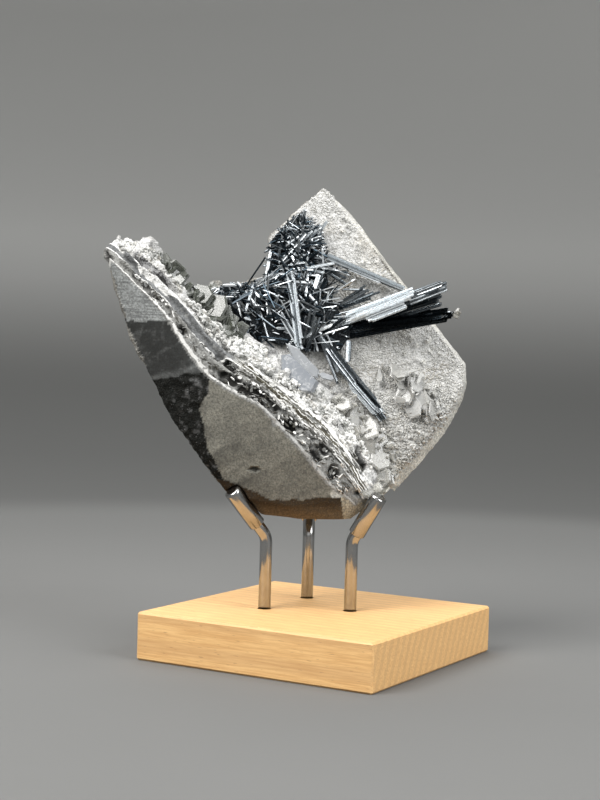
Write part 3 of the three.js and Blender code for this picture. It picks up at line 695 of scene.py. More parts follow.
# the zones of the rock's front as (x, z) outlines: each one lies over those before it
ZONE_OUTLINES = {
    "black": [
        (-54, 85), (-33.4, 87), (-34.8, 80.8), (-37.7, 75.6), (-35.8, 72), (-35.2, 64.1), (-32.4, 59.6),
        (-29.8, 53.3), (-38, 57), (-48, 70),
    ],
    "brown": [
        (-32, 54.5), (-23.8, 52.1), (-15.8, 49.2), (5.5, 50.4), (9, 42), (-12, 41), (-21, 42), (-33, 49),
    ],
    "dark": [(-61.5, 102.3), (-48, 103.4), (-41.2, 97), (-33, 89.9), (-33.5, 86.8), (-52.5, 84.2)],
    "pale": [(-68, 122), (-61, 115.4), (-50.1, 105.8), (-46.5, 102.4), (-60.5, 101.4)],
    "buff": [(4.9, 54), (12, 54), (13, 42), (7.4, 42)],
}
HUES = {
    "pale": (0.37, 0.387, 0.382),
    "dark": (0.040, 0.042, 0.041),
    "black": (0.006, 0.007, 0.006),
    "warm": (0.192, 0.184, 0.152),
    "brown": (0.04, 0.0235, 0.0095),
    "buff": (0.45, 0.40, 0.30),
    "rest": (0.27, 0.26, 0.233),
}
# how rough each zone is, from 0 to 1
GRIT = {"pale": 0.15, "dark": 0.12, "black": 0.9, "warm": 0.22, "brown": 0.5, "buff": 0.5, "rest": 0.8}
# the druse on the slab, as (x, z)
SLAB_FACE = [
    (-1.7, 147), (6.8, 139), (17, 123), (24.5, 113), (34.5, 103), (45.5, 91.5), (46, 84), (42.5, 77),
    (35, 69), (27, 60), (18, 52), (10, 56), (6, 72), (-2, 84), (-8, 92), (-21, 100), (-21, 130), (-12, 138),
]
# the rock's mesh size, and how many spots the broken edge is divided into along and over it
VOXEL = 0.56
BAND_STEPS = (120, 24)
# where the grey layer runs, as (along, over), and half its width
LAYER_MID = [
    (0, 0.4), (0.05, 0.33), (0.09, 0.2), (0.14, 0.22), (0.2, 0.3), (0.3, 0.35), (0.38, 0.42), (0.45, 0.37),
    (0.55, 0.32), (0.66, 0.35), (0.75, 0.4), (0.85, 0.38), (1, 0.33),
]
LAYER_HALF = 0.095
RIM_WIDTH = 1.4
# the small pit in the front face, sunk and painted dark as its shade, as (x, z)
FACE_PIT = {"at": (-20.7, 58.0), "half": (1.8, 0.7)}
BEDDING = math.radians(27)
# rays per point that look for the far wall of a pocket, for the shade painted in pockets, and how far they
# look
HOLLOW_RAYS, HOLLOW_REACH = 4, 6
# metres between the rock's surface and the part's box
BOX_MARGIN = 1e-5


def band_grid():
    """Spots on the broken edge as (along, over), where they lie, and which way each number grows there."""
    alongs = np.linspace(0, 1, BAND_STEPS[0])
    overs = np.linspace(-0.1, 1.2, BAND_STEPS[1])
    spots = np.array([(along, over) for along in alongs for over in overs])
    at = np.array([on_band(along, over) for along, over in spots])
    down = np.array([on_band(along + 0.005, over) - on_band(along - 0.005, over) for along, over in spots])
    across = np.array([on_band(along, over + 0.5) - on_band(along, over - 0.5) for along, over in spots])
    return spots, at, down / 0.01, across


def band_position(points):
    """For each point: how far along and over the broken edge it is, and its distance from it."""
    spots, at, down, across = band_grid()
    tree = KDTree(len(at))
    for i, spot in enumerate(at):
        tree.insert(spot, i)
    tree.balance()
    near = np.array([tree.find(p)[1] for p in points])
    gap, d, a = points - at[near], down[near], across[near]
    dd, aa, da = (d * d).sum(1), (a * a).sum(1), (d * a).sum(1)
    gd, ga = (gap * d).sum(1), (gap * a).sum(1)
    det = dd * aa - da * da
    step = 1.5 / np.array(BAND_STEPS)
    more_down = np.clip((gd * aa - ga * da) / det, -step[0], step[0])
    more_over = np.clip((ga * dd - gd * da) / det, -step[1], step[1])
    away = np.linalg.norm(gap - d * more_down[:, None] - a * more_over[:, None], axis=1)
    return spots[near, 0] + more_down, spots[near, 1] + more_over, away


def finer_copy(node, voxel):
    """A finely meshed copy of a solid."""
    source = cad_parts[node]
    copy = link(node + "_fine", source.data.copy())
    remesh = copy.modifiers.new("remesh", "REMESH")
    remesh.mode = "VOXEL"
    remesh.voxel_size = voxel * MM
    remesh.adaptivity = 0
    depsgraph = bpy.context.evaluated_depsgraph_get()
    mesh = bpy.data.meshes.new_from_object(copy.evaluated_get(depsgraph))
    bpy.data.objects.remove(copy)
    return mesh


def vertex_arrays(mesh):
    """Where the mesh's vertices are, and their normals."""
    co = np.empty(len(mesh.vertices) * 3, np.float32)
    normals = np.empty(len(mesh.vertices) * 3, np.float32)
    mesh.vertices.foreach_get("co", co)
    mesh.vertices.foreach_get("normal", normals)
    return unplace(co), unturned(normals.reshape(-1, 3).astype(float))


def rock_zones(p, n):
    """Shares from 0 to 1 of each zone at the rock's points."""
    x, z = p[:, 0] + 1.3 * noise(p, 7, 3, 3), p[:, 2] + 1.3 * noise(p, 7, 4, 3)
    front = (n[:, 1] < 0.25) & (p[:, 1] < 4)
    zones = {name: np.zeros(len(p)) for name in HUES}
    zones["warm"] = (front & (z < 92) & (x > -40)).astype(float)
    zones["rest"] = 1 - zones["warm"]
    for name, outline in ZONE_OUTLINES.items():
        share = (inside(outline, x, z) & front).astype(float)
        zones = {other: amount * (1 - share) for other, amount in zones.items()}
        zones[name] = zones[name] + share
    return zones


def rock_regions(p, n):
    """Where each point is on the broken edge, and its shares of that edge, the slab's face and its rim."""
    along, over, away = band_position(p)
    in_band = (1 - smooth(3.2, 4.6, away)) * (over > -0.03) * (n[:, 1] < 0.6)
    off_slab = np.abs(p[:, 1] - slab_y(p[:, 0], p[:, 2]))
    slab = inside(SLAB_FACE, p[:, 0], p[:, 2]) & (off_slab < 3.2) & (n[:, 1] < 0) & (in_band < 0.5)
    rim = (off_slab < 8) & (p[:, 0] > 2) & (p[:, 2] > 50) & (n[:, 0] > 0.3) & (in_band < 0.5)
    for i in np.nonzero(slab & (p[:, 0] > 2))[0]:
        rim[i] |= by_right_edge(p[i, 0], p[i, 2])
    return along, over, in_band, slab.astype(float), rim.astype(float)


def by_right_edge(x, z):
    """True within about a millimetre of the slab's right edge."""
    for dx, dz in ((1, 0), (0.7, 0.7), (0.7, -0.7)):
        at, _ = rock_ahead(x + RIM_WIDTH * dx, z + RIM_WIDTH * dz)
        if at is None or abs(at[1] - slab_y(x, z)) > 4:
            return True
    return False


def layer_level(along, over):
    """How far above the middle of its grey layer a point of the broken edge is."""
    return over - np.interp(along, *zip(*LAYER_MID))


def layer_colour(p, along, over):
    """The broken edge: pits beside the face, a smooth grey to olive layer, then white crust up to the crest.

    It gives each point's colour, with painted shade in its pits, hollows and deep hole,
    how deep it lies in a pit or hole, and its share of the crust.
    """
    level = layer_level(along, over) + 0.02 * noise(p, 4, 8, 2)
    layer = blend(np.array([0.20, 0.207, 0.21]), (0.13, 0.12, 0.085), smooth(0.36, 0.42, along))
    layer = layer * (0.55 + 0.75 * (0.5 + 0.5 * noise(p, 3, 12, 3)))[:, None]
    layer = blend(layer, (0.5, 0.5, 0.485), 0.7 * smooth(0.25, 0.6, noise(p, 1.7, 17, 2)))

    deep = smooth(0.37, 0.42, along) * smooth(0.86, 0.8, along)
    pit = smooth(0.0, 0.3, noise(p, 3.4, 15, 2) + 0.22 * deep) * smooth(0.02, 0.05, over)
    # painted shade: the ledge turns near black in its pits
    ledge = blend(np.array([0.30, 0.30, 0.285]), (0.026, 0.026, 0.024), pit)

    # painted shade: small hollows in the crust are painted darker, as the shade inside them
    hole_shade = smooth(0.05, 0.5, noise(p, 2.6, 13, 3))
    chalk = np.array([0.74, 0.735, 0.71]) * (1 - 0.8 * hole_shade[:, None])
    pocket = smooth(0.03, 0.06, along) * smooth(0.2, 0.16, along)
    pocket = pocket * smooth(0.42, 0.47, over) * smooth(0.68, 0.62, over)
    grains = 0.05 + 0.2 * smooth(0.2, 0.6, noise(p, 1.6, 16))[:, None] * np.array([1, 0.95, 0.8])
    chalk = blend(chalk, grains, pocket)
    hole = within(0.89, 0.99, along, 0.02) * smooth(0.43, 0.47, over) * smooth(0.7, 0.64, over)
    # painted shade: the deep hole near the lower end is painted almost black
    chalk = chalk * (1 - 0.96 * hole[:, None])
    crest = within(0.13, 0.4, along, 0.04) * smooth(0.76, 0.84, over)
    chalk = blend(chalk, (0.15, 0.158, 0.13), crest)

    below = smooth(-LAYER_HALF + 0.01, -LAYER_HALF - 0.01, level)
    above = smooth(LAYER_HALF - 0.01, LAYER_HALF + 0.01, level)
    colour = layer * (1 - below - above)[:, None] + ledge * below[:, None] + chalk * above[:, None]
    return colour, np.maximum(below * pit, above * hole), above * (1 - hole)


def drawn_out(p):
    """Points squeezed along the rock's bedding, so that noise on them runs in long bands."""
    c, s = math.cos(BEDDING), math.sin(BEDDING)
    return np.column_stack([0.22 * (p[:, 0] * c + p[:, 2] * s), 0.3 * p[:, 1], p[:, 2] * c - p[:, 0] * s])


def face_colour(p, zones):
    """The zones' colours, with their bands, flecks, stains and beds."""
    drawn = drawn_out(p)
    hue = sum(zones[name][:, None] * np.array(colour) for name, colour in HUES.items())
    bands = noise(drawn, 2.8, 20, 3)
    hue = shaded(hue, zones["dark"] * 2.2 * smooth(-0.1, 0.5, bands) + zones["warm"] * 0.6 * bands)
    hue = hue * (0.84 + 0.28 * (0.5 + 0.5 * noise(p, 4, 21, 3)))[:, None]
    hue = shaded(hue, zones["warm"] * (0.22 * noise(p, 2.4, 28, 3) + 0.2 * noise(drawn, 1.2, 41, 3)))
    flecks = smooth(0.2, 0.6, noise(p, 1.3, 24, 2)) * (zones["black"] + 0.4 * zones["dark"])
    hue = hue + 0.09 * flecks[:, None]
    streak = noise(p * [0.25, 1, 1], 1.5, 22, 2)
    hue = shaded(hue, 0.4 * zones["brown"] * streak + 0.16 * zones["pale"] * streak)
    hue = blend(hue, (0.15, 0.105, 0.058), smooth(50, 43, p[:, 2]) * zones["brown"])
    rust = smooth(0.05, 0.5, noise(p, 14, 25, 4)) * zones["rest"]
    hue = hue * (1 - 0.5 * rust[:, None]) + np.array([0.12, 0.085, 0.045]) * rust[:, None]
    return shaded(hue, 0.55 * noise(drawn * [0.5, 1, 1], 4.5, 27, 4) * zones["rest"])


def in_face_pit(p):
    (x, z), (half_x, half_z) = FACE_PIT["at"], FACE_PIT["half"]
    away = np.hypot((p[:, 0] - x) / half_x, (p[:, 2] - z) / half_z)
    return smooth(1.2, 0.7, away) * (p[:, 1] < 0)


def slab_colours(p):
    """The slab's frosty face, stained here and there, and the cream stone of its rim."""
    stain = smooth(0.25, 0.7, noise(p, 12, 23, 3))[:, None]
    frost = np.array([0.62, 0.615, 0.59]) * (1 - 0.3 * stain) + np.array([0.05, 0.02, -0.03]) * stain
    return frost, np.array([0.84, 0.82, 0.74]) * (0.85 + 0.3 * noise(p, 3, 26, 2))[:, None]


def bowls(p, size, seed):
    return scallops(p, size, seed) - 0.3


def relief(p, zones, along, in_band, slab, rim, pit, crust):
    """How far the broken surface stands out from the solid, in millimetres."""
    off_band = 1 - in_band
    broken = 2.0 * bowls(p, 14, 30) + 1.1 * bowls(p, 5.5, 31) + 0.4 * noise(p, 2.6, 29, 3)
    lift = zones["rest"] * off_band * (1 - slab) * (1 - 0.8 * rim) * broken
    lift += zones["black"] * off_band * (0.35 * noise(p, 2.0, 32, 3) + 0.5 * bowls(p, 2.4, 33))
    lift += (zones["warm"] + zones["pale"] + zones["dark"]) * off_band * 0.08 * noise(p, 5, 34, 3)
    lift += zones["brown"] * off_band * 0.25 * noise(p * [0.4, 1, 1.4], 3, 35, 2)
    torn = 1 + 2.5 * smooth(0.14, 0.02, along)
    lift += in_band * (0.25 * torn * noise(p, 3.4, 36, 3) - 1.2 * pit)
    lift += in_band * crust * (0.8 * noise(p, 3.0, 37, 3) + 0.5 * bowls(p, 2.2, 38))
    return lift + slab * 0.25 * noise(p, 2.2, 39, 2)


def rock_piece():
    """The stone itself: the solid meshed finer, broken up, and given its colours and grains."""
    mesh = finer_copy("matrix_rock", VOXEL)
    p, n = vertex_arrays(mesh)
    zones = rock_zones(p, n)
    along, over, in_band, slab, rim = rock_regions(p, n)
    colour, pit, crust = layer_colour(p, along, over)
    sunk = in_face_pit(p)

    frost, cream = slab_colours(p)
    # painted shade: the small pit in the front face is darkened as its shade
    hue = face_colour(p, zones) * (1 - 0.85 * sunk[:, None])
    hue = blend(blend(blend(hue, colour, in_band), frost, slab), cream, rim)
    # painted shade: the colour darkens deep in pockets, where the rays find rock around the point
    hue = hue * (1 - 0.85 * painted_hollow_shade(mesh, p, n, in_band)[:, None])

    grit = sum(zones[name] * amount for name, amount in GRIT.items())
    grit = grit * (1 - in_band) + in_band * (0.2 + 0.7 * crust)
    grit = grit * (1 - slab) + slab * 0.8

    lift = relief(p, zones, along, in_band, slab, rim, pit, crust) - 0.7 * sunk
    # the slab and the crust are glossier, and get white flecks painted on as a painted highlight for their
    # sparkle
    store(mesh, p + n * lift[:, None], hue, {
        "grit": np.clip(grit, 0, 1), "gloss_and_painted_glint": 0.7 * slab + 0.6 * in_band * crust, "ruled": zones["pale"],
        "band": in_band, "along": along, "over": over, "level": layer_level(along, over),
    })
    return dress(link("rock", mesh), rock(), ("matrix_rock",))


def painted_hollow_shade(mesh, p, n, near):
    """1 deep inside pockets: the share of short rays from a point that hit the rock again. The rock's colour
    is darkened by it as painted shade.
    """
    tree = BVHTree.FromPolygons(place(p).tolist(), [tuple(f.vertices) for f in mesh.polygons])
    chosen = np.nonzero(near > 0.2)[0]
    depth = np.zeros(len(p))
    start = place(p[chosen] + n[chosen] * 0.4)
    for turn in np.arange(HOLLOW_RAYS) * math.pi / 2:
        rays = turned(n[chosen] + np.array([math.cos(turn), 0.0, math.sin(turn)]) * 0.9)
        for i, spot, ray in zip(chosen, start, rays):
            hit = tree.ray_cast(Vector(spot), Vector(ray).normalized(), HOLLOW_REACH * MM)[0]
            depth[i] += hit is not None
    return smooth(0.3, 1.0, depth / HOLLOW_RAYS)


def store(mesh, moved, hue, numbers):
    """Moves the mesh's vertices, held inside the part's box, and keeps their colours and numbers."""
    low, high = np.array(CAD_BOX[0]), np.array(CAD_BOX[1])
    co = np.clip(place(moved), low + BOX_MARGIN, high - BOX_MARGIN)
    mesh.vertices.foreach_set("co", co.astype(np.float32).ravel())
    rgba = np.column_stack([np.clip(hue, 0, 0.9), np.ones(len(hue))]).astype(np.float32)
    mesh.attributes.new("hue", "FLOAT_COLOR", "POINT").data.foreach_set("color", rgba.ravel())
    for name, values in numbers.items():
        keep_number(mesh, name, values)
    mesh.update()


# ---------- growth on the rock ----------


def surface_of(node):
    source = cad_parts[node].data
    points = [v.co.copy() for v in source.vertices]
    return BVHTree.FromPolygons(points, [tuple(f.vertices) for f in source.polygons])


ROCK_SURFACE = surface_of("matrix_rock")
IN_FRONT_Y = -60.0
AWAY = Vector(turned(np.array([(0, 1, 0)]))[0])


def rock_point(hit, normal, *_):
    """Where a search on the rock ended and its normal there, or two Nones."""
    if hit is None:
        return None, None
    return unplace([hit])[0], unplace([np.array(normal) * MM])[0]


def rock_ahead(x, z):
    """The rock's surface and normal at (x, z), seen from the front."""
    return rock_point(*ROCK_SURFACE.ray_cast(placed((x, IN_FRONT_Y, z)), AWAY))


def nearest_rock(point, reach=4.0):
    return rock_point(*ROCK_SURFACE.find_nearest(placed(point), reach * MM))


DRUSE_COUNT = 10500
CRUST_COUNT = 2700
# where the crust leaves the vein bare, as along from, to and over from, to
CRUST_GAPS = [
    (0.14, 0.38, 0.76, 1), (0.03, 0.2, 0, 0.64), (0.88, 1, 0.4, 0.72), (0.5, 0.68, 0.66, 1),
    (0.68, 1, 0.8, 1),
]


def slab_druse():
    """Small quartz points all over the slab's face, coarser low down and greyer there, partly as painted
    shade near the barite.
    """
    rng = np.random.default_rng(5)
    heap = Heap()
    while heap.count < DRUSE_COUNT * POINT_VERTICES:
        x, z = rng.uniform(-22, 46), rng.uniform(52, 147)
        if not inside(SLAB_FACE, np.array([x]), np.array([z]))[0]:
            continue
        at, n = rock_ahead(x, z)
        if at is None or abs(at[1] - slab_y(x, z)) > 2.6 or (x > 2 and by_right_edge(x, z)):
            continue
        low = smooth(92, 64, np.array([z]))[0]
        coarse = 1.0 + 0.7 * low + 0.3 * noise(np.array([[x, 0, z]]), 8, 6)[0]
        coarse -= 0.25 * smooth(108, 116, np.array([z]))[0]
        size = rng.uniform(0.45, 0.8) * coarse
        axis = n + rng.normal(0, 0.33, 3)
        # the tone darkens the points: at random, and more low down, partly as painted shade near the barite
        tone = 0.55 * rng.random() + 0.45 * low
        quartz_point(heap, at, axis, size, size * rng.uniform(0.4, 0.8), rng, tone)
    return heap.build("slab_druse", quartz_druse())


def crust_grains():
    """Small grains and slips of barite along the crest side of the broken edge."""
    rng = np.random.default_rng(8)
    heap = Heap()
    while heap.count < CRUST_COUNT * TABLET_VERTICES:
        along, over = rng.uniform(0.0, 1.0), 0.5 + 0.42 * rng.random() ** 0.8
        at, n = nearest_rock(on_band(along, over, 1.0))
        if at is None or noise(np.array([at]), 5, 40, 2)[0] < -0.45:
            continue
        if any(a < along < b and c < over < d for a, b, c, d in CRUST_GAPS):
            continue
        if layer_level(along, over) < LAYER_HALF + 0.03:
            continue
        size = rng.uniform(0.7, 1.9) * (1.25 if rng.random() < 0.15 else 0.9)
        face, top = n + rng.normal(0, 0.8, 3), rng.normal(size=3)
        tablet(heap, at + n * size * 0.12, face, top, size, size * rng.uniform(0.7, 1.3), size * 0.34, rng)
    return heap.build("crust_grains", vein_crust())


FLAKE_COUNT = 260
RIB_COUNT = 150
RIB_LEVELS = (-0.12, -0.06, 0.03, 0.12, 0.19)


def layer_slivers():
    """Flakes across the pits by the face, and the thin layers that stand out along the lower edge."""
    rng = np.random.default_rng(9)
    heap = Heap()
    while heap.count < (FLAKE_COUNT + RIB_COUNT) * TABLET_VERTICES:
        flake = heap.count < FLAKE_COUNT * TABLET_VERTICES
        along = rng.uniform(0.08, 0.95) if flake else rng.uniform(0.38, 0.99)
        middle = np.interp(along, *zip(*LAYER_MID))
        over = rng.uniform(0.0, middle - LAYER_HALF) if flake else middle + rng.choice(RIB_LEVELS)
        level = on_band(along, over, 0.5)
        at, n = nearest_rock(level, 3.0)
        if at is None or np.linalg.norm(at - level) > 1.7:
            continue
        run = on_band(along + 0.01, over) - on_band(along - 0.01, over)
        run = unit(run / np.linalg.norm(run) + rng.normal(0, 0.4 if flake else 0.04, 3))
        face = unit(np.cross(run, n)) + rng.normal(0, 0.5 if flake else 0.1, 3)
        tall, long = (rng.uniform(0.5, 1.2), rng.uniform(0.9, 2.6)) if flake else (0.9, rng.uniform(3, 7))
        tablet(heap, at, face, run, tall, long, rng.uniform(0.16, 0.32), rng)
    return heap.build("layer_slivers", layer_edge())


# ---------- barite ----------

# the crest's tablets: where along the edge they stand, and how wide they are at both ends of the row
CREST_FROM, CREST_TO = 0.12, 0.385
CREST_SMALL, CREST_LARGE = 5.5, 10.5
CREST_TABLETS, CREST_RIBS = 46, 9
# each cluster's plates: middle, the way the broad face looks, the way up, width, height and thickness
PLATES = {
    "barite_broad_plate": [((-3.4, 2, 80.8), (-0.1, -0.95, 0.2), (0.9, 0, -0.3), 4, 6, 2.0)],
    "barite_foot_cluster": [
        ((5.5, 3, 77.6), (-0.3, -0.85, 0.4), (0.7, 0, 0.7), 9, 8, 2.6),
        ((9.6, 3.2, 73.6), (0.5, -0.75, 0.3), (0.2, 0.2, 1), 8, 11, 2.6),
        ((13.4, 3.4, 70.6), (-0.2, -0.9, 0.5), (0.9, 0, 0.5), 11, 8, 2.8),
        ((16.6, 2.8, 67), (0.6, -0.7, 0.2), (-0.2, 0, 1), 8, 10, 2.6),
        ((9, 1.8, 68.4), (-0.5, -0.8, 0.3), (0.4, 0, 1), 8, 9, 2.6),
        ((12.8, 1.2, 64.6), (0.1, -0.95, 0.2), (0.1, 0, 1), 9, 11, 3),
        ((17.4, 1.4, 61.4), (0.4, -0.9, 0.3), (0.3, 0, 1), 7, 11, 3),
        ((18.2, 0, 55.8), (-0.3, -0.9, 0.2), (0.8, 0, 0.6), 9, 9, 3),
        ((13.4, -2.4, 52.8), (0.2, -0.8, 0.6), (1, 0, 0.1), 10, 6, 3),
    ],
    "barite_rosette": [
        ((22.8, 9, 87.2), (0.1, -0.5, 0.9), (1, 0.1, 0.3), 12, 6, 2.2),
        ((28.4, 8.8, 84), (0.6, -0.7, 0.3), (0.2, -0.2, 1), 7, 9, 2.4),
        ((25.4, 8, 80.6), (-0.6, -0.7, 0.3), (0, -0.3, 1), 7, 9, 2.4),
        ((30.4, 7.8, 78.8), (0.1, -0.9, 0.4), (0.8, 0, 0.6), 10, 7, 2.6),
        ((33.6, 7.2, 75.8), (0.5, -0.7, 0.6), (0.7, 0.2, -0.7), 8, 7, 2.6),
        ((27.6, 7.4, 76.8), (-0.4, -0.6, 0.7), (0.9, 0, 0.3), 8, 7, 2.4),
    ],
}


# how near the rock or the cluster a small crystal's root must be
ROOT_REACH = 1.3
# plates that lie on the rock: both ends as (x, z), width and thickness
LAID_PLATES = {
    "barite_broad_plate": [
        ((-15.4, 93.6), (-2.2, 80.2), 6.0, 2.6),
        ((-12.6, 96), (-0.6, 84.4), 3.4, 1.0),
        ((-2.4, 86.8), (3, 85.4), 2.0, 0.9),
    ],
}
# the farthest back that the end of such a plate may lie
DEEPEST_ROOT = 5.0
# the rosette's long thin leaves: middle, direction and length
ROSE_SLIPS = [
    ((26, 7.6, 88.2), (0.94, 0, 0.34), 8.4),
    ((22.6, 8.2, 85.2), (0.8, 0, 0.6), 6),
    ((29.6, 7.6, 86.2), (0.3, 0, 1), 5.5),
    ((17, 9.2, 86.4), (0.05, 0.3, 1), 8),
    ((25.2, 7.6, 82), (0.7, 0, 0.7), 5),
    ((31.8, 6.6, 80.4), (-0.2, 0, 1), 6),
    ((28.4, 6.6, 76), (0.9, 0, 0.4), 5),
    ((34, 6.4, 75), (0.7, 0, -0.7), 5.4),
]


def crest_plates():
    """Frosted tablets that overlap along the upper crest, with thin ribs beside the largest, lowest one."""
    rng = np.random.default_rng(21)
    heap = Heap()
    for _ in range(CREST_TABLETS):
        share = rng.random()
        along = CREST_FROM + (CREST_TO - CREST_FROM) * share
        size = (CREST_SMALL + (CREST_LARGE - CREST_SMALL) * share) * rng.uniform(0.3, 0.8)
        centre = on_band(along, 0.86 + rng.uniform(-0.1, 0.1), 0.4 + 1.4 * rng.random() * share)
        face = np.array([-0.35, -0.85, 0.45]) + rng.normal(0, 0.42, 3)
        height = size * rng.uniform(0.7, 1.5)
        tablet(heap, centre, face, (0.7, 0.1, -0.7), size, height, size * 0.16 + 0.3, rng)
    for i in range(CREST_RIBS):
        share = i / (CREST_RIBS - 1)
        centre = on_band(0.315 + 0.075 * share, 0.9 - 0.05 * share, 1.8 - 0.8 * share)
        height = 8.0 - 3.5 * share
        tablet(heap, centre, (0.75, -0.55, 0.1 * i - 0.4), (0.5, 0, 0.86), 4.2, height, 0.7, rng)
    tablet(heap, on_band(0.29, 0.86, 2.0), (-0.3, -0.9, 0.35), (0.5, 0, 0.86), 8.5, 10.5, 1.3, rng)
    tablet(heap, on_band(0.255, 0.86, 1.8), (-0.15, -0.9, 0.45), (0.4, 0, 0.9), 6.5, 8.5, 1.2, rng)
    material = barite("barite_crest", 0.45, (0.095, 0.105, 0.083), 0.14, 0.16)
    return heap.build("barite_crest", material, ("barite_crest_plates",))


def attached(at, shape):
    """True where a small crystal would be rooted in the cluster or on the rock."""
    found = (tree.find_nearest(placed(at), ROOT_REACH * MM)[0] for tree in (shape, ROCK_SURFACE))
    return any(spot is not None for spot in found)


def laid_plate(heap, start, end, width, thick, rng):
    """A long plate that lies on the rock from start to end."""
    ends = []
    for x, z in (start, end):
        spot, _ = rock_ahead(x, z)
        ends.append(np.array([x, min(spot[1], DEEPEST_ROOT) - thick * 0.45, z]))
    run = ends[1] - ends[0]
    face = np.array(LIT) - run * np.dot(LIT, run) / np.dot(run, run)
    tablet(heap, (ends[0] + ends[1]) / 2, face, run, width, np.linalg.norm(run), thick, rng)


def plate_cluster(node, name, material, extra, teeth, loose, seed):
    """A cluster's plates, split into thin leaves, with small crystals between and teeth on the right rims."""
    rng = np.random.default_rng(seed)
    heap = Heap()
    shape = surface_of(node)
    for centre, face, top, width, height, thick in PLATES[node]:
        centre, out = np.array(centre, float), unit(face)
        for layer in (-0.32, 0.02, 0.36):
            size = rng.uniform(0.7, 1.0)
            tilt = out + rng.normal(0, loose, 3)
            middle = centre + out * thick * layer
            tablet(heap, middle, tilt, top, width * size, height * size, thick * 0.24, rng)
        for _ in range(extra):
            at = centre + rng.normal(0, 0.3, 3) * [width, 2.0, height]
            if not attached(at, shape):
                continue
            size = rng.uniform(1.2, 3.4)
            tilt, up = out + rng.normal(0, 0.7, 3), rng.normal(size=3)
            tablet(heap, at, tilt, up, size * 0.75, size * rng.uniform(1.2, 2.2), 0.2 + size * 0.12, rng)
        for _ in range(teeth):
            at = centre + np.array([width * 0.42, rng.uniform(-1, 1), height * rng.uniform(-0.45, 0.45)])
            if not attached(at, shape):
                continue
            points_to = np.array([1, rng.normal(0, 0.4), rng.normal(0.3, 0.5)])
            tilt = out + rng.normal(0, 0.3, 3)
            tablet(heap, at, tilt, points_to, rng.uniform(0.7, 1.3), rng.uniform(2, 3.6), 0.4, rng)
    for start, end, width, thick in LAID_PLATES.get(node, ()):
        laid_plate(heap, start, end, width, thick, rng)
    return heap.build(name, material, (node,))


def rose_slips(material):
    """The rosette's long thin leaves."""
    rng = np.random.default_rng(65)
    heap = Heap()
    for centre, top, height in ROSE_SLIPS:
        tablet(heap, centre, (0.1, -0.9, 0.45), top, 1.1, height, 0.5, rng)
    heap.build("barite_rose_slips", material)


def blade_end(material):
    """The few grains on the tip of the lowest stibnite blade."""
    rng = np.random.default_rng(64)
    heap = Heap()
    for shift in (-0.5, 0.4, 1.0):
        at = (40.4 + shift * 0.4, 7.6, 106.3 + shift)
        tablet(heap, at, rng.normal(size=3), (1, 0, 0.3), 2.0, 2.6, 0.9, rng)
    heap.build("barite_blade_end", material)


def barite_pieces():
    crest_plates()
    glassy = barite("barite_glassy", 0.2, (0.27, 0.29, 0.318), 0.12, 0.32)
    milky = barite("barite_milky", 0.5, (0.60, 0.595, 0.565), 0.1, 0.5)
    frosted = barite("barite_frosted", 0.6, (0.50, 0.49, 0.445), 0.12, 0.34)
    plate_cluster("barite_broad_plate", "barite_broad", glassy, 1, 0, 0.02, 61)
    plate_cluster("barite_foot_cluster", "barite_foot", frosted, 6, 6, 0.14, 62)
    plate_cluster("barite_rosette", "barite_rose", milky, 8, 3, 0.3, 63)
    rose_slips(milky)
    blade_end(frosted)


# ---------- stibnite ----------

# the corners of the three lumps that carry the needles
BED = [
    [
        (-38, 12, 111.4), (-29, 14.4, 112.6), (-20.4, 14, 114.6), (-13, 12.5, 112), (-8, 8.6, 96),
        (-14, 9, 95), (-26, 12, 100), (-36, 20, 109.4), (-20, 22, 110), (-10, 20, 96), (-26, 20, 97),
    ],
    [
        (-18.8, 14, 113.6), (-18.4, 19, 128.4), (-13.4, 20.5, 134.6), (-8.6, 21.8, 138.4), (-4, 21, 133),
        (-1, 17.6, 122), (1.6, 14.2, 111), (-16, 24, 118), (-8, 26, 134), (0, 20, 112),
    ],
    [
        (-14, 11.6, 113), (1.8, 12.6, 110), (8.4, 10, 100.4), (5, 8.4, 94), (-7, 8, 94),
        (-11, 9, 99), (-12, 18, 112), (6, 16, 102), (-6, 16, 92),
    ],
]
# root, tip, spread at the root and at the tip, blades, width, thickness, how much their lengths differ,
# the way their broad sides look, and how bright they are painted, as painted light and shade
SHEAVES = [
    ((2, 11.4, 101), (21, 8.4, 110.4), 2.6, 3.2, 12, 1.0, 0.7, 0.45, LIT, 0.65),
    ((2, 12.4, 101.4), (36.6, 6.4, 115.8), 2.6, 2.4, 9, 1.3, 1.0, 0.12, (-0.2, -0.8, 0.5), 0.35),
    ((3, 12.8, 100.6), (36, 7.4, 112.2), 3.6, 5.4, 18, 1.4, 1.2, 0.2, (-0.05, -0.9, 0.1), 0.25),
    ((4, 12.4, 99.6), (40.6, 8, 107), 3.2, 3.0, 16, 1.3, 1.2, 0.25, (0, -0.9, -0.1), 0.28),
    ((0, 17.2, 123.6), (25, 16.6, 113.8), 2.0, 1.2, 6, 0.9, 0.8, 0.15, LIT, 0.7),
    ((4, 14, 108), (17, 11, 115), 2.0, 5.0, 9, 0.7, 0.5, 0.5, LIT, 0.4),
    ((-6, 9.4, 94), (-2, 6, 108), 2.0, 8.0, 9, 0.7, 0.5, 0.45, (-0.2, -0.9, 0.3), 0.35),
    ((-6, 9.4, 94.6), (6.2, 7.4, 104.6), 0.6, 0.6, 3, 1.5, 1.0, 0.1, (0.3, -0.9, -0.2), 0.3),
    ((-2, 10, 98), (19.8, 6, 72.8), 2.2, 2.8, 13, 1.1, 0.9, 0.3, LIT, 0.5),
    ((-1, 10, 97), (4.6, 6.8, 84), 1.0, 2.0, 5, 0.8, 0.6, 0.3, (-0.3, -0.9, 0.35), 0.45),
]
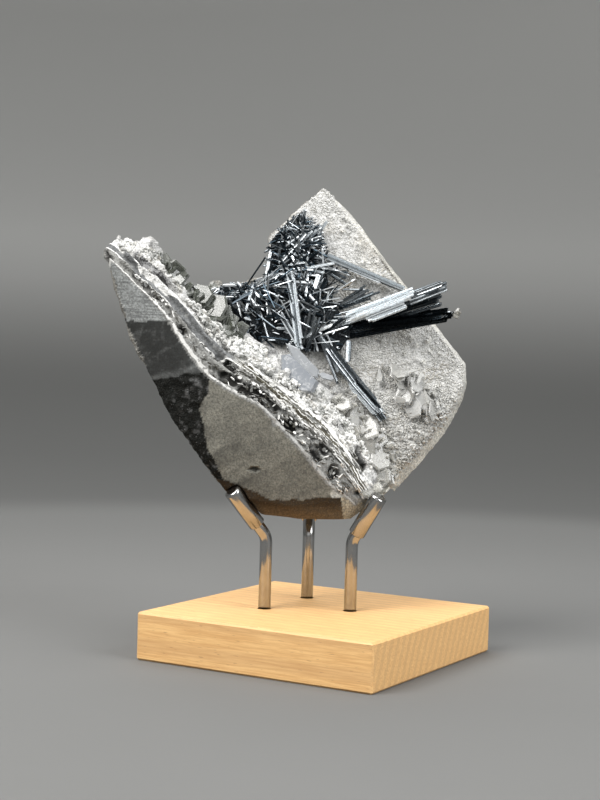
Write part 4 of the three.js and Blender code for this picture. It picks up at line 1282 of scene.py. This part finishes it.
# single broad blades: root, tip, width, thickness, the way they look, brightness (painted light and shade),
# and how square they end
BOARDS = [
    ((6.4, 7, 104.6), (27.2, 5.2, 113.1), 3.2, 1.2, LIT, 1.0, 0.95),
    ((12.4, 6, 103.7), (24.6, 4.9, 108.9), 1.9, 0.9, LIT, 0.95, 0.9),
    ((24, 6.2, 108.9), (37.2, 5.8, 114.5), 1.4, 0.8, LIT, 0.9, 0.5),
    ((3, 9, 101.8), (14.4, 6.4, 106.0), 1.2, 0.8, LIT, 0.8, 0.5),
    ((8, 8.6, 104.4), (37.3, 7, 115.9), 3.0, 1.6, (-0.25, -0.87, 0.42), 0.65, 0.7),
    ((12, 8.6, 102.4), (40.2, 7.6, 106.4), 2.8, 1.6, (-0.1, -0.9, -0.1), 0.35, 0.9),
    ((0, 7.6, 96.4), (18.4, 5.4, 73.8), 2.2, 1.0, (-0.28, -0.86, 0.4), 0.6, 0.4),
    ((8.2, 4.4, 84.8), (17.2, 5.2, 75.0), 3.4, 0.8, LIT, 0.72, 0.7),
    ((6, 15.6, 120.2), (17.4, 15.2, 115.8), 0.7, 0.4, LIT, 1.0, 0.5),
    ((-7.9, 4.6, 94.2), (-11.7, 11.0, 118.6), 2.4, 1.0, LIT, 1.0, 0.6),
    ((-10.4, 8, 108), (-13.1, 11, 117.2), 0.9, 0.6, LIT, 0.9, 0.5),
    ((-7.4, 5, 94), (-15, 10.2, 106.2), 1.5, 0.7, LIT, 0.9, 0.5),
    ((-19.2, 13, 116.4), (-17.9, 16.4, 125.6), 0.8, 0.5, LIT, 1.0, 0.5),
    ((-3.8, 17, 123), (-10.9, 15, 124.2), 0.9, 0.5, LIT, 1.0, 0.5),
    ((-4.5, 17, 125.2), (-0.8, 15, 122.6), 0.8, 0.5, LIT, 1.0, 0.5),
    ((-9.9, 15, 119), (3.6, 13, 121.9), 0.8, 0.5, LIT, 1.0, 0.6),
    ((-3.6, 22, 130.6), (-0.4, 20, 135), 0.9, 0.5, LIT, 0.9, 0.6),
    ((-0.4, 17, 116.8), (2.8, 15, 120.6), 0.7, 0.4, LIT, 0.9, 0.5),
    ((-3.9, 11.6, 113.2), (-2.4, 13.6, 118.2), 1.2, 0.6, LIT, 0.95, 0.6),
    ((-4.4, 14, 112.6), (-0.4, 12.6, 117), 0.7, 0.4, LIT, 0.9, 0.5),
    ((-10.6, 13, 115.4), (-4.8, 11, 115.1), 0.6, 0.4, LIT, 1.0, 0.5),
    ((-13.6, 13, 109.4), (-16.6, 10, 113.4), 0.6, 0.4, LIT, 0.9, 0.5),
    ((-15.6, 15.5, 122.8), (-14.6, 18, 129.5), 0.7, 0.4, LIT, 0.9, 0.5),
    ((7.4, 9, 97.6), (7.1, 6, 90.6), 1.3, 0.7, LIT, 0.95, 0.9),
]
# needles: how many, the patch their roots lie in as (x, z), and its y, or None for roots on the slab
NEEDLE_PATCHES = [
    (280, [(-36, 111), (-21, 112.5), (-9, 96), (-24, 100)], 13.4),
    (430, [(-17, 116), (-12, 134), (-4, 134), (1, 113)], None),
    (300, [(-13, 112), (1, 110), (7, 99), (-8, 95)], None),
    (110, [(-35, 112.8), (-19, 115.2), (-18, 112), (-34, 110)], 12.6),
]
# how far the needles reach, as (x, z)
BED_OUTLINE = [
    (-7.7, 139.8), (-2.2, 134.3), (1.6, 121.8), (8, 118.5), (17, 116.5), (18, 112.6), (9, 108), (8, 96),
    (1.4, 93.2), (-8, 92), (-20, 94.6), (-27.5, 105), (-36.5, 111), (-33, 114.5), (-21, 115.6), (-20.2, 127),
    (-14.6, 134.6),
]


def stibnite_bed():
    """The dark mat under the needles, near black partly as painted shade among them."""
    work = bmesh.new()
    for corners in BED:
        mid = np.mean(corners, axis=0)
        shrunk = mid + (np.array(corners) - mid) * 0.97
        made = [work.verts.new(p) for p in place(shrunk)]
        bmesh.ops.convex_hull(work, input=made)
    loose = [v for v in work.verts if not v.link_faces]
    bmesh.ops.delete(work, geom=loose, context="VERTS")
    mesh = bpy.data.meshes.new("stibnite_bed")
    work.to_mesh(mesh)
    work.free()
    return dress(link("stibnite_bed", mesh), bed_metal_and_shade())


def sheaf(heap, row, rng):
    """A bundle of blades that spread a little from their root."""
    root, tip, base, fan, count, width, thick, cut, facing, bright = row
    root, tip = np.array(root, float), np.array(tip, float)
    _, side, up = axes_along(root, tip, 90)
    for i in range(count):
        share = (i + rng.uniform(0.2, 0.8)) / count - 0.5
        depth = up * rng.uniform(-1.4, 1.4) * (count > 2)
        reach = 1 - cut * rng.random()
        start = root + side * share * base + depth
        end = root + (tip - root) * reach + side * share * fan + depth + up * rng.uniform(-0.3, 0.3)
        looks = np.array(facing) + rng.normal(0, 0.22, 3)
        # painted light and shade: each row's blades are painted about as bright as that row is lit
        tone = bright + rng.uniform(-0.1, 0.25)
        broad, deep = width * rng.uniform(0.7, 1.25), thick * rng.uniform(0.7, 1.1)
        stibnite_blade(heap, start, end, broad, deep, looks, rng, tone, rng.uniform(0.3, 0.9))


def in_patch(corners, rng):
    """A random spot between four corners."""
    a, b, c, d = (np.array(corner, float) for corner in corners)
    s, t = rng.random(2)
    return (a * (1 - s) + b * s) * (1 - t) + (d * (1 - s) + c * s) * t


def kept_share(root, run):
    """How much of a needle's length keeps its tip over the bed."""
    for share in (1.0, 0.75, 0.55, 0.4):
        tip = root + run * share
        if inside(BED_OUTLINE, tip[[0]], tip[[2]])[0]:
            return share
    return 0.3


def needles(heap, rng):
    """Needles and thin blades that lean over the bed in all directions."""
    for count, corners, root_y in NEEDLE_PATCHES:
        for _ in range(count):
            x, z = in_patch(corners, rng)
            y = slab_y(x, z) - 1 if root_y is None else root_y
            turn = rng.uniform(0, 2 * math.pi)
            rise = rng.uniform(0.02, 0.45)
            length = rng.uniform(3.5, 8.0) if rng.random() < 0.6 else rng.uniform(8.0, 15.0)
            flat = math.sqrt(1 - rise * rise) * length
            y -= rng.uniform(0, 2.2)
            root = np.array([x, y, z])
            run = np.array([math.cos(turn) * flat, -rise * length * 0.8 - 0.5, math.sin(turn) * flat * 0.75])
            tip = root + run * kept_share(root, run)
            width = rng.uniform(0.28, 0.5) + 0.03 * length * rng.random()
            if rng.random() < 0.25:
                looks = rng.normal(size=3) + [0, -1.5, 0.6]
                tone = rng.random() ** 1.2
                stibnite_blade(heap, root, tip, width * 1.3, width * 0.8, looks, rng, tone, 0.4, 5)
            else:
                stibnite_needle(heap, root, tip, width, rng)


def stibnite_pieces():
    rng = np.random.default_rng(100)
    material = stibnite()
    blades = Heap()
    for row in SHEAVES:
        sheaf(blades, row, rng)
    for root, tip, width, thick, facing, tone, blunt in BOARDS:
        stibnite_board(blades, root, tip, width, thick, facing, rng, tone, blunt)
    needles(blades, rng)
    stibnite_bed()
    return blades.build("stibnite_blades", material, ("stibnite_crystals",))


# ---------- the stand ----------

# the prongs stand on a circle: where each stands, which way it leans and how far, in degrees, the height of
# its bend, and how far above the bend its sleeve begins
PRONG_CENTRE = (-3.5, 5.4)
PRONG_CIRCLE_R = 15.2
PRONGS = {
    "left": {"stands": -150, "leans": -142, "tilt": 43, "bend": 36.8, "sleeve": 5.4},
    "right": {"stands": -30, "leans": -35, "tilt": 33, "bend": 36, "sleeve": 2.9},
    "back": {"stands": 90, "leans": 90, "tilt": 38, "bend": 36.2, "sleeve": 4.2},
}
ROD_R, ROD_BEND_R, SLEEVE_R, SLEEVE_LENGTH = 1.9, 6, 2.6, 14.6
SLEEVE_BEVEL, SLEEVE_ROUND = 0.25, 0.9
ROD_END_DEPTH = 1.8
SEAT_FLOOR = 4.8
BEND_STEPS, ROUND_STEPS, TUBE_SIDES = 12, 5, 40


def dress_wood():
    """The block keeps its own solid and only gets its wood."""
    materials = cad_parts["wood_block"].data.materials
    materials.clear()
    materials.append(beech())


def prong_pieces(material):
    """Each prong: a rod that rises from the block and leans out, and the sleeve on its upper end."""
    for side, prong in PRONGS.items():
        stands, leans, tilt = (math.radians(prong[k]) for k in ("stands", "leans", "tilt"))
        x, y = PRONG_CENTRE
        foot = np.array([x + PRONG_CIRCLE_R * math.cos(stands), y + PRONG_CIRCLE_R * math.sin(stands), 0.0])
        out = np.array([math.cos(leans), math.sin(leans), 0.0])
        arm = out * math.sin(tilt) + UP * math.cos(tilt)
        corner = foot + UP * prong["bend"]
        base, end = corner + arm * prong["sleeve"], corner + arm * (prong["sleeve"] + SLEEVE_LENGTH)
        rod = rod_path(foot, out, tilt, prong["bend"])
        rod.append((corner + arm * (prong["sleeve"] + SLEEVE_LENGTH - ROD_END_DEPTH), tilt, ROD_R))
        smooth_tube(f"rod_{side}", rod, out, material, f"prong_rod_{side}")
        sleeve = sleeve_path(base, end, arm, tilt)
        smooth_tube(f"sleeve_{side}", sleeve, out, material, f"prong_sleeve_{side}")


def rod_path(foot, out, tilt, bend):
    """The rod's middle line from its seat through its bend: points, with the lean and radius at each."""
    start = bend - ROD_BEND_R * math.tan(tilt / 2)
    path = [(foot + UP * SEAT_FLOOR, 0.0, ROD_R)]
    for k in range(BEND_STEPS + 1):
        angle = tilt * k / BEND_STEPS
        at = foot + out * ROD_BEND_R * (1 - math.cos(angle)) + UP * (start + ROD_BEND_R * math.sin(angle))
        path.append((at, angle, ROD_R))
    return path


def sleeve_path(base, end, arm, tilt):
    """The sleeve's middle line, with its bevelled lower edge and its rounded upper one."""
    path = [(base, tilt, SLEEVE_R - SLEEVE_BEVEL), (base + arm * SLEEVE_BEVEL, tilt, SLEEVE_R)]
    for k in range(ROUND_STEPS + 1):
        a = math.pi / 2 * k / ROUND_STEPS
        radius = SLEEVE_R - SLEEVE_ROUND * (1 - math.cos(a))
        path.append((end - arm * SLEEVE_ROUND * (1 - math.sin(a)), tilt, radius))
    return path


def smooth_tube(name, path, out, material, node):
    """A round tube along a path in the upright plane of `out`."""
    across = np.cross(UP, out)
    turns = np.arange(TUBE_SIDES) * 2 * math.pi / TUBE_SIDES
    rings = []
    for centre, angle, radius in path:
        away = out * math.cos(angle) - UP * math.sin(angle)
        section = [(radius * math.cos(t), radius * math.sin(t)) for t in turns]
        rings.append(ring(centre, away, across, section))
    heap = Heap()
    heap.loft(rings, 0.5, [0.0] * len(rings))
    piece = heap.build(name, material, (node,))
    for face in piece.data.polygons:
        face.use_smooth = len(face.vertices) == 4


# ---------- studio ----------

CAMERA_AT = (249.412, -447.218, 100.824)
CAMERA_AIM = (-6.507, -3.755, 78.808)
CAMERA_ROLL = 1.620
CAMERA_LENS = 75.095
FLOOR_SIDES = 96
WALL_STEPS = 16
# the floor's flat radius, the radius of its bend into the wall, and the wall's height, in metres
FLOOR_FLAT, FLOOR_BEND, WALL_TOP = 0.55, 1.4, 1.8
ROOM_COLOUR, ROOM_STRENGTH = (0.42, 0.43, 0.44, 1), 0.4
LIGHTS_AIM = (0, 0, 80)
WHITE = (1, 1, 1)
# the soft lights: name, place, width and height in metres, watts and colour
LIGHTS = [
    ("key", (-560, -430, 820), 0.6, 0.6, 13.8, (1, 0.985, 0.965)),
    ("fill", (720, -480, 520), 0.5, 0.7, 7.8, (0.98, 0.99, 1)),
    ("top", (40, -60, 900), 0.8, 0.5, 4.5, WHITE),
    ("front", (-60, -900, 300), 0.8, 0.5, 0.8, WHITE),
    ("back", (-200, 700, 1100), 0.9, 0.7, 7.5, WHITE),
]


def camera():
    data = bpy.data.cameras.new("camera")
    data.sensor_fit, data.sensor_width, data.lens = "AUTO", 36, CAMERA_LENS
    data.clip_start, data.clip_end = 0.02, 20
    cam = link("camera", data)
    forward = (Vector(CAMERA_AIM) - Vector(CAMERA_AT)).normalized()
    right = forward.cross(Vector((0, 0, 1))).normalized()
    up = right.cross(forward)
    r = math.radians(CAMERA_ROLL)
    side = right * math.cos(r) + up * math.sin(r)
    top = up * math.cos(r) - right * math.sin(r)
    facing = Matrix((side, top, -forward)).transposed().to_4x4()
    cam.matrix_world = Matrix.Translation(Vector(CAMERA_AT) * MM) @ facing
    bpy.context.scene.camera = cam


def softbox(name, at, width, height, power, colour):
    data = bpy.data.lights.new(name, "AREA")
    data.shape, data.size, data.size_y = "RECTANGLE", width, height
    data.energy, data.color = power, colour
    light = link(name, data)
    light.location = placed(at)
    light.rotation_euler = (placed(LIGHTS_AIM) - placed(at)).to_track_quat("-Z", "Y").to_euler()


def studio():
    for row in LIGHTS:
        softbox(*row)
    world = bpy.data.worlds.new("room")
    bpy.context.scene.world = world
    world.use_nodes = True
    sky = world.node_tree.nodes["Background"]
    sky.inputs["Color"].default_value = ROOM_COLOUR
    sky.inputs["Strength"].default_value = ROOM_STRENGTH
    bpy.context.scene.view_settings.view_transform = "Standard"


def floor():
    """A pale round floor that curves up into a wall far from the object."""
    profile = [(0.02, 0.0), (FLOOR_FLAT, 0.0)]
    for k in range(1, WALL_STEPS + 1):
        a = math.pi / 2 * k / WALL_STEPS
        profile.append((FLOOR_FLAT + FLOOR_BEND * math.sin(a), FLOOR_BEND * (1 - math.cos(a))))
    profile.append((FLOOR_FLAT + FLOOR_BEND, WALL_TOP))
    turns = np.arange(FLOOR_SIDES) * 2 * math.pi / FLOOR_SIDES
    points = [(r * math.cos(t), r * math.sin(t), z) for r, z in profile for t in turns]
    faces = [tuple(range(FLOOR_SIDES))]
    for k in range(len(profile) - 1):
        low, high = k * FLOOR_SIDES, (k + 1) * FLOOR_SIDES
        for i in range(FLOOR_SIDES):
            j = (i + 1) % FLOOR_SIDES
            faces.append((low + i, low + j, high + j, high + i))
    mesh = bpy.data.meshes.new("floor")
    mesh.from_pydata(points, [], faces)
    mesh.polygons.foreach_set("use_smooth", [True] * len(faces))
    mesh.materials.append(plain_floor())
    piece = link("floor", mesh)


# ---------- build ----------

camera()
studio()
floor()

dress_wood()
prong_pieces(steel())
rock_piece()
slab_druse()
crust_grains()
layer_slivers()
barite_pieces()
stibnite_pieces()
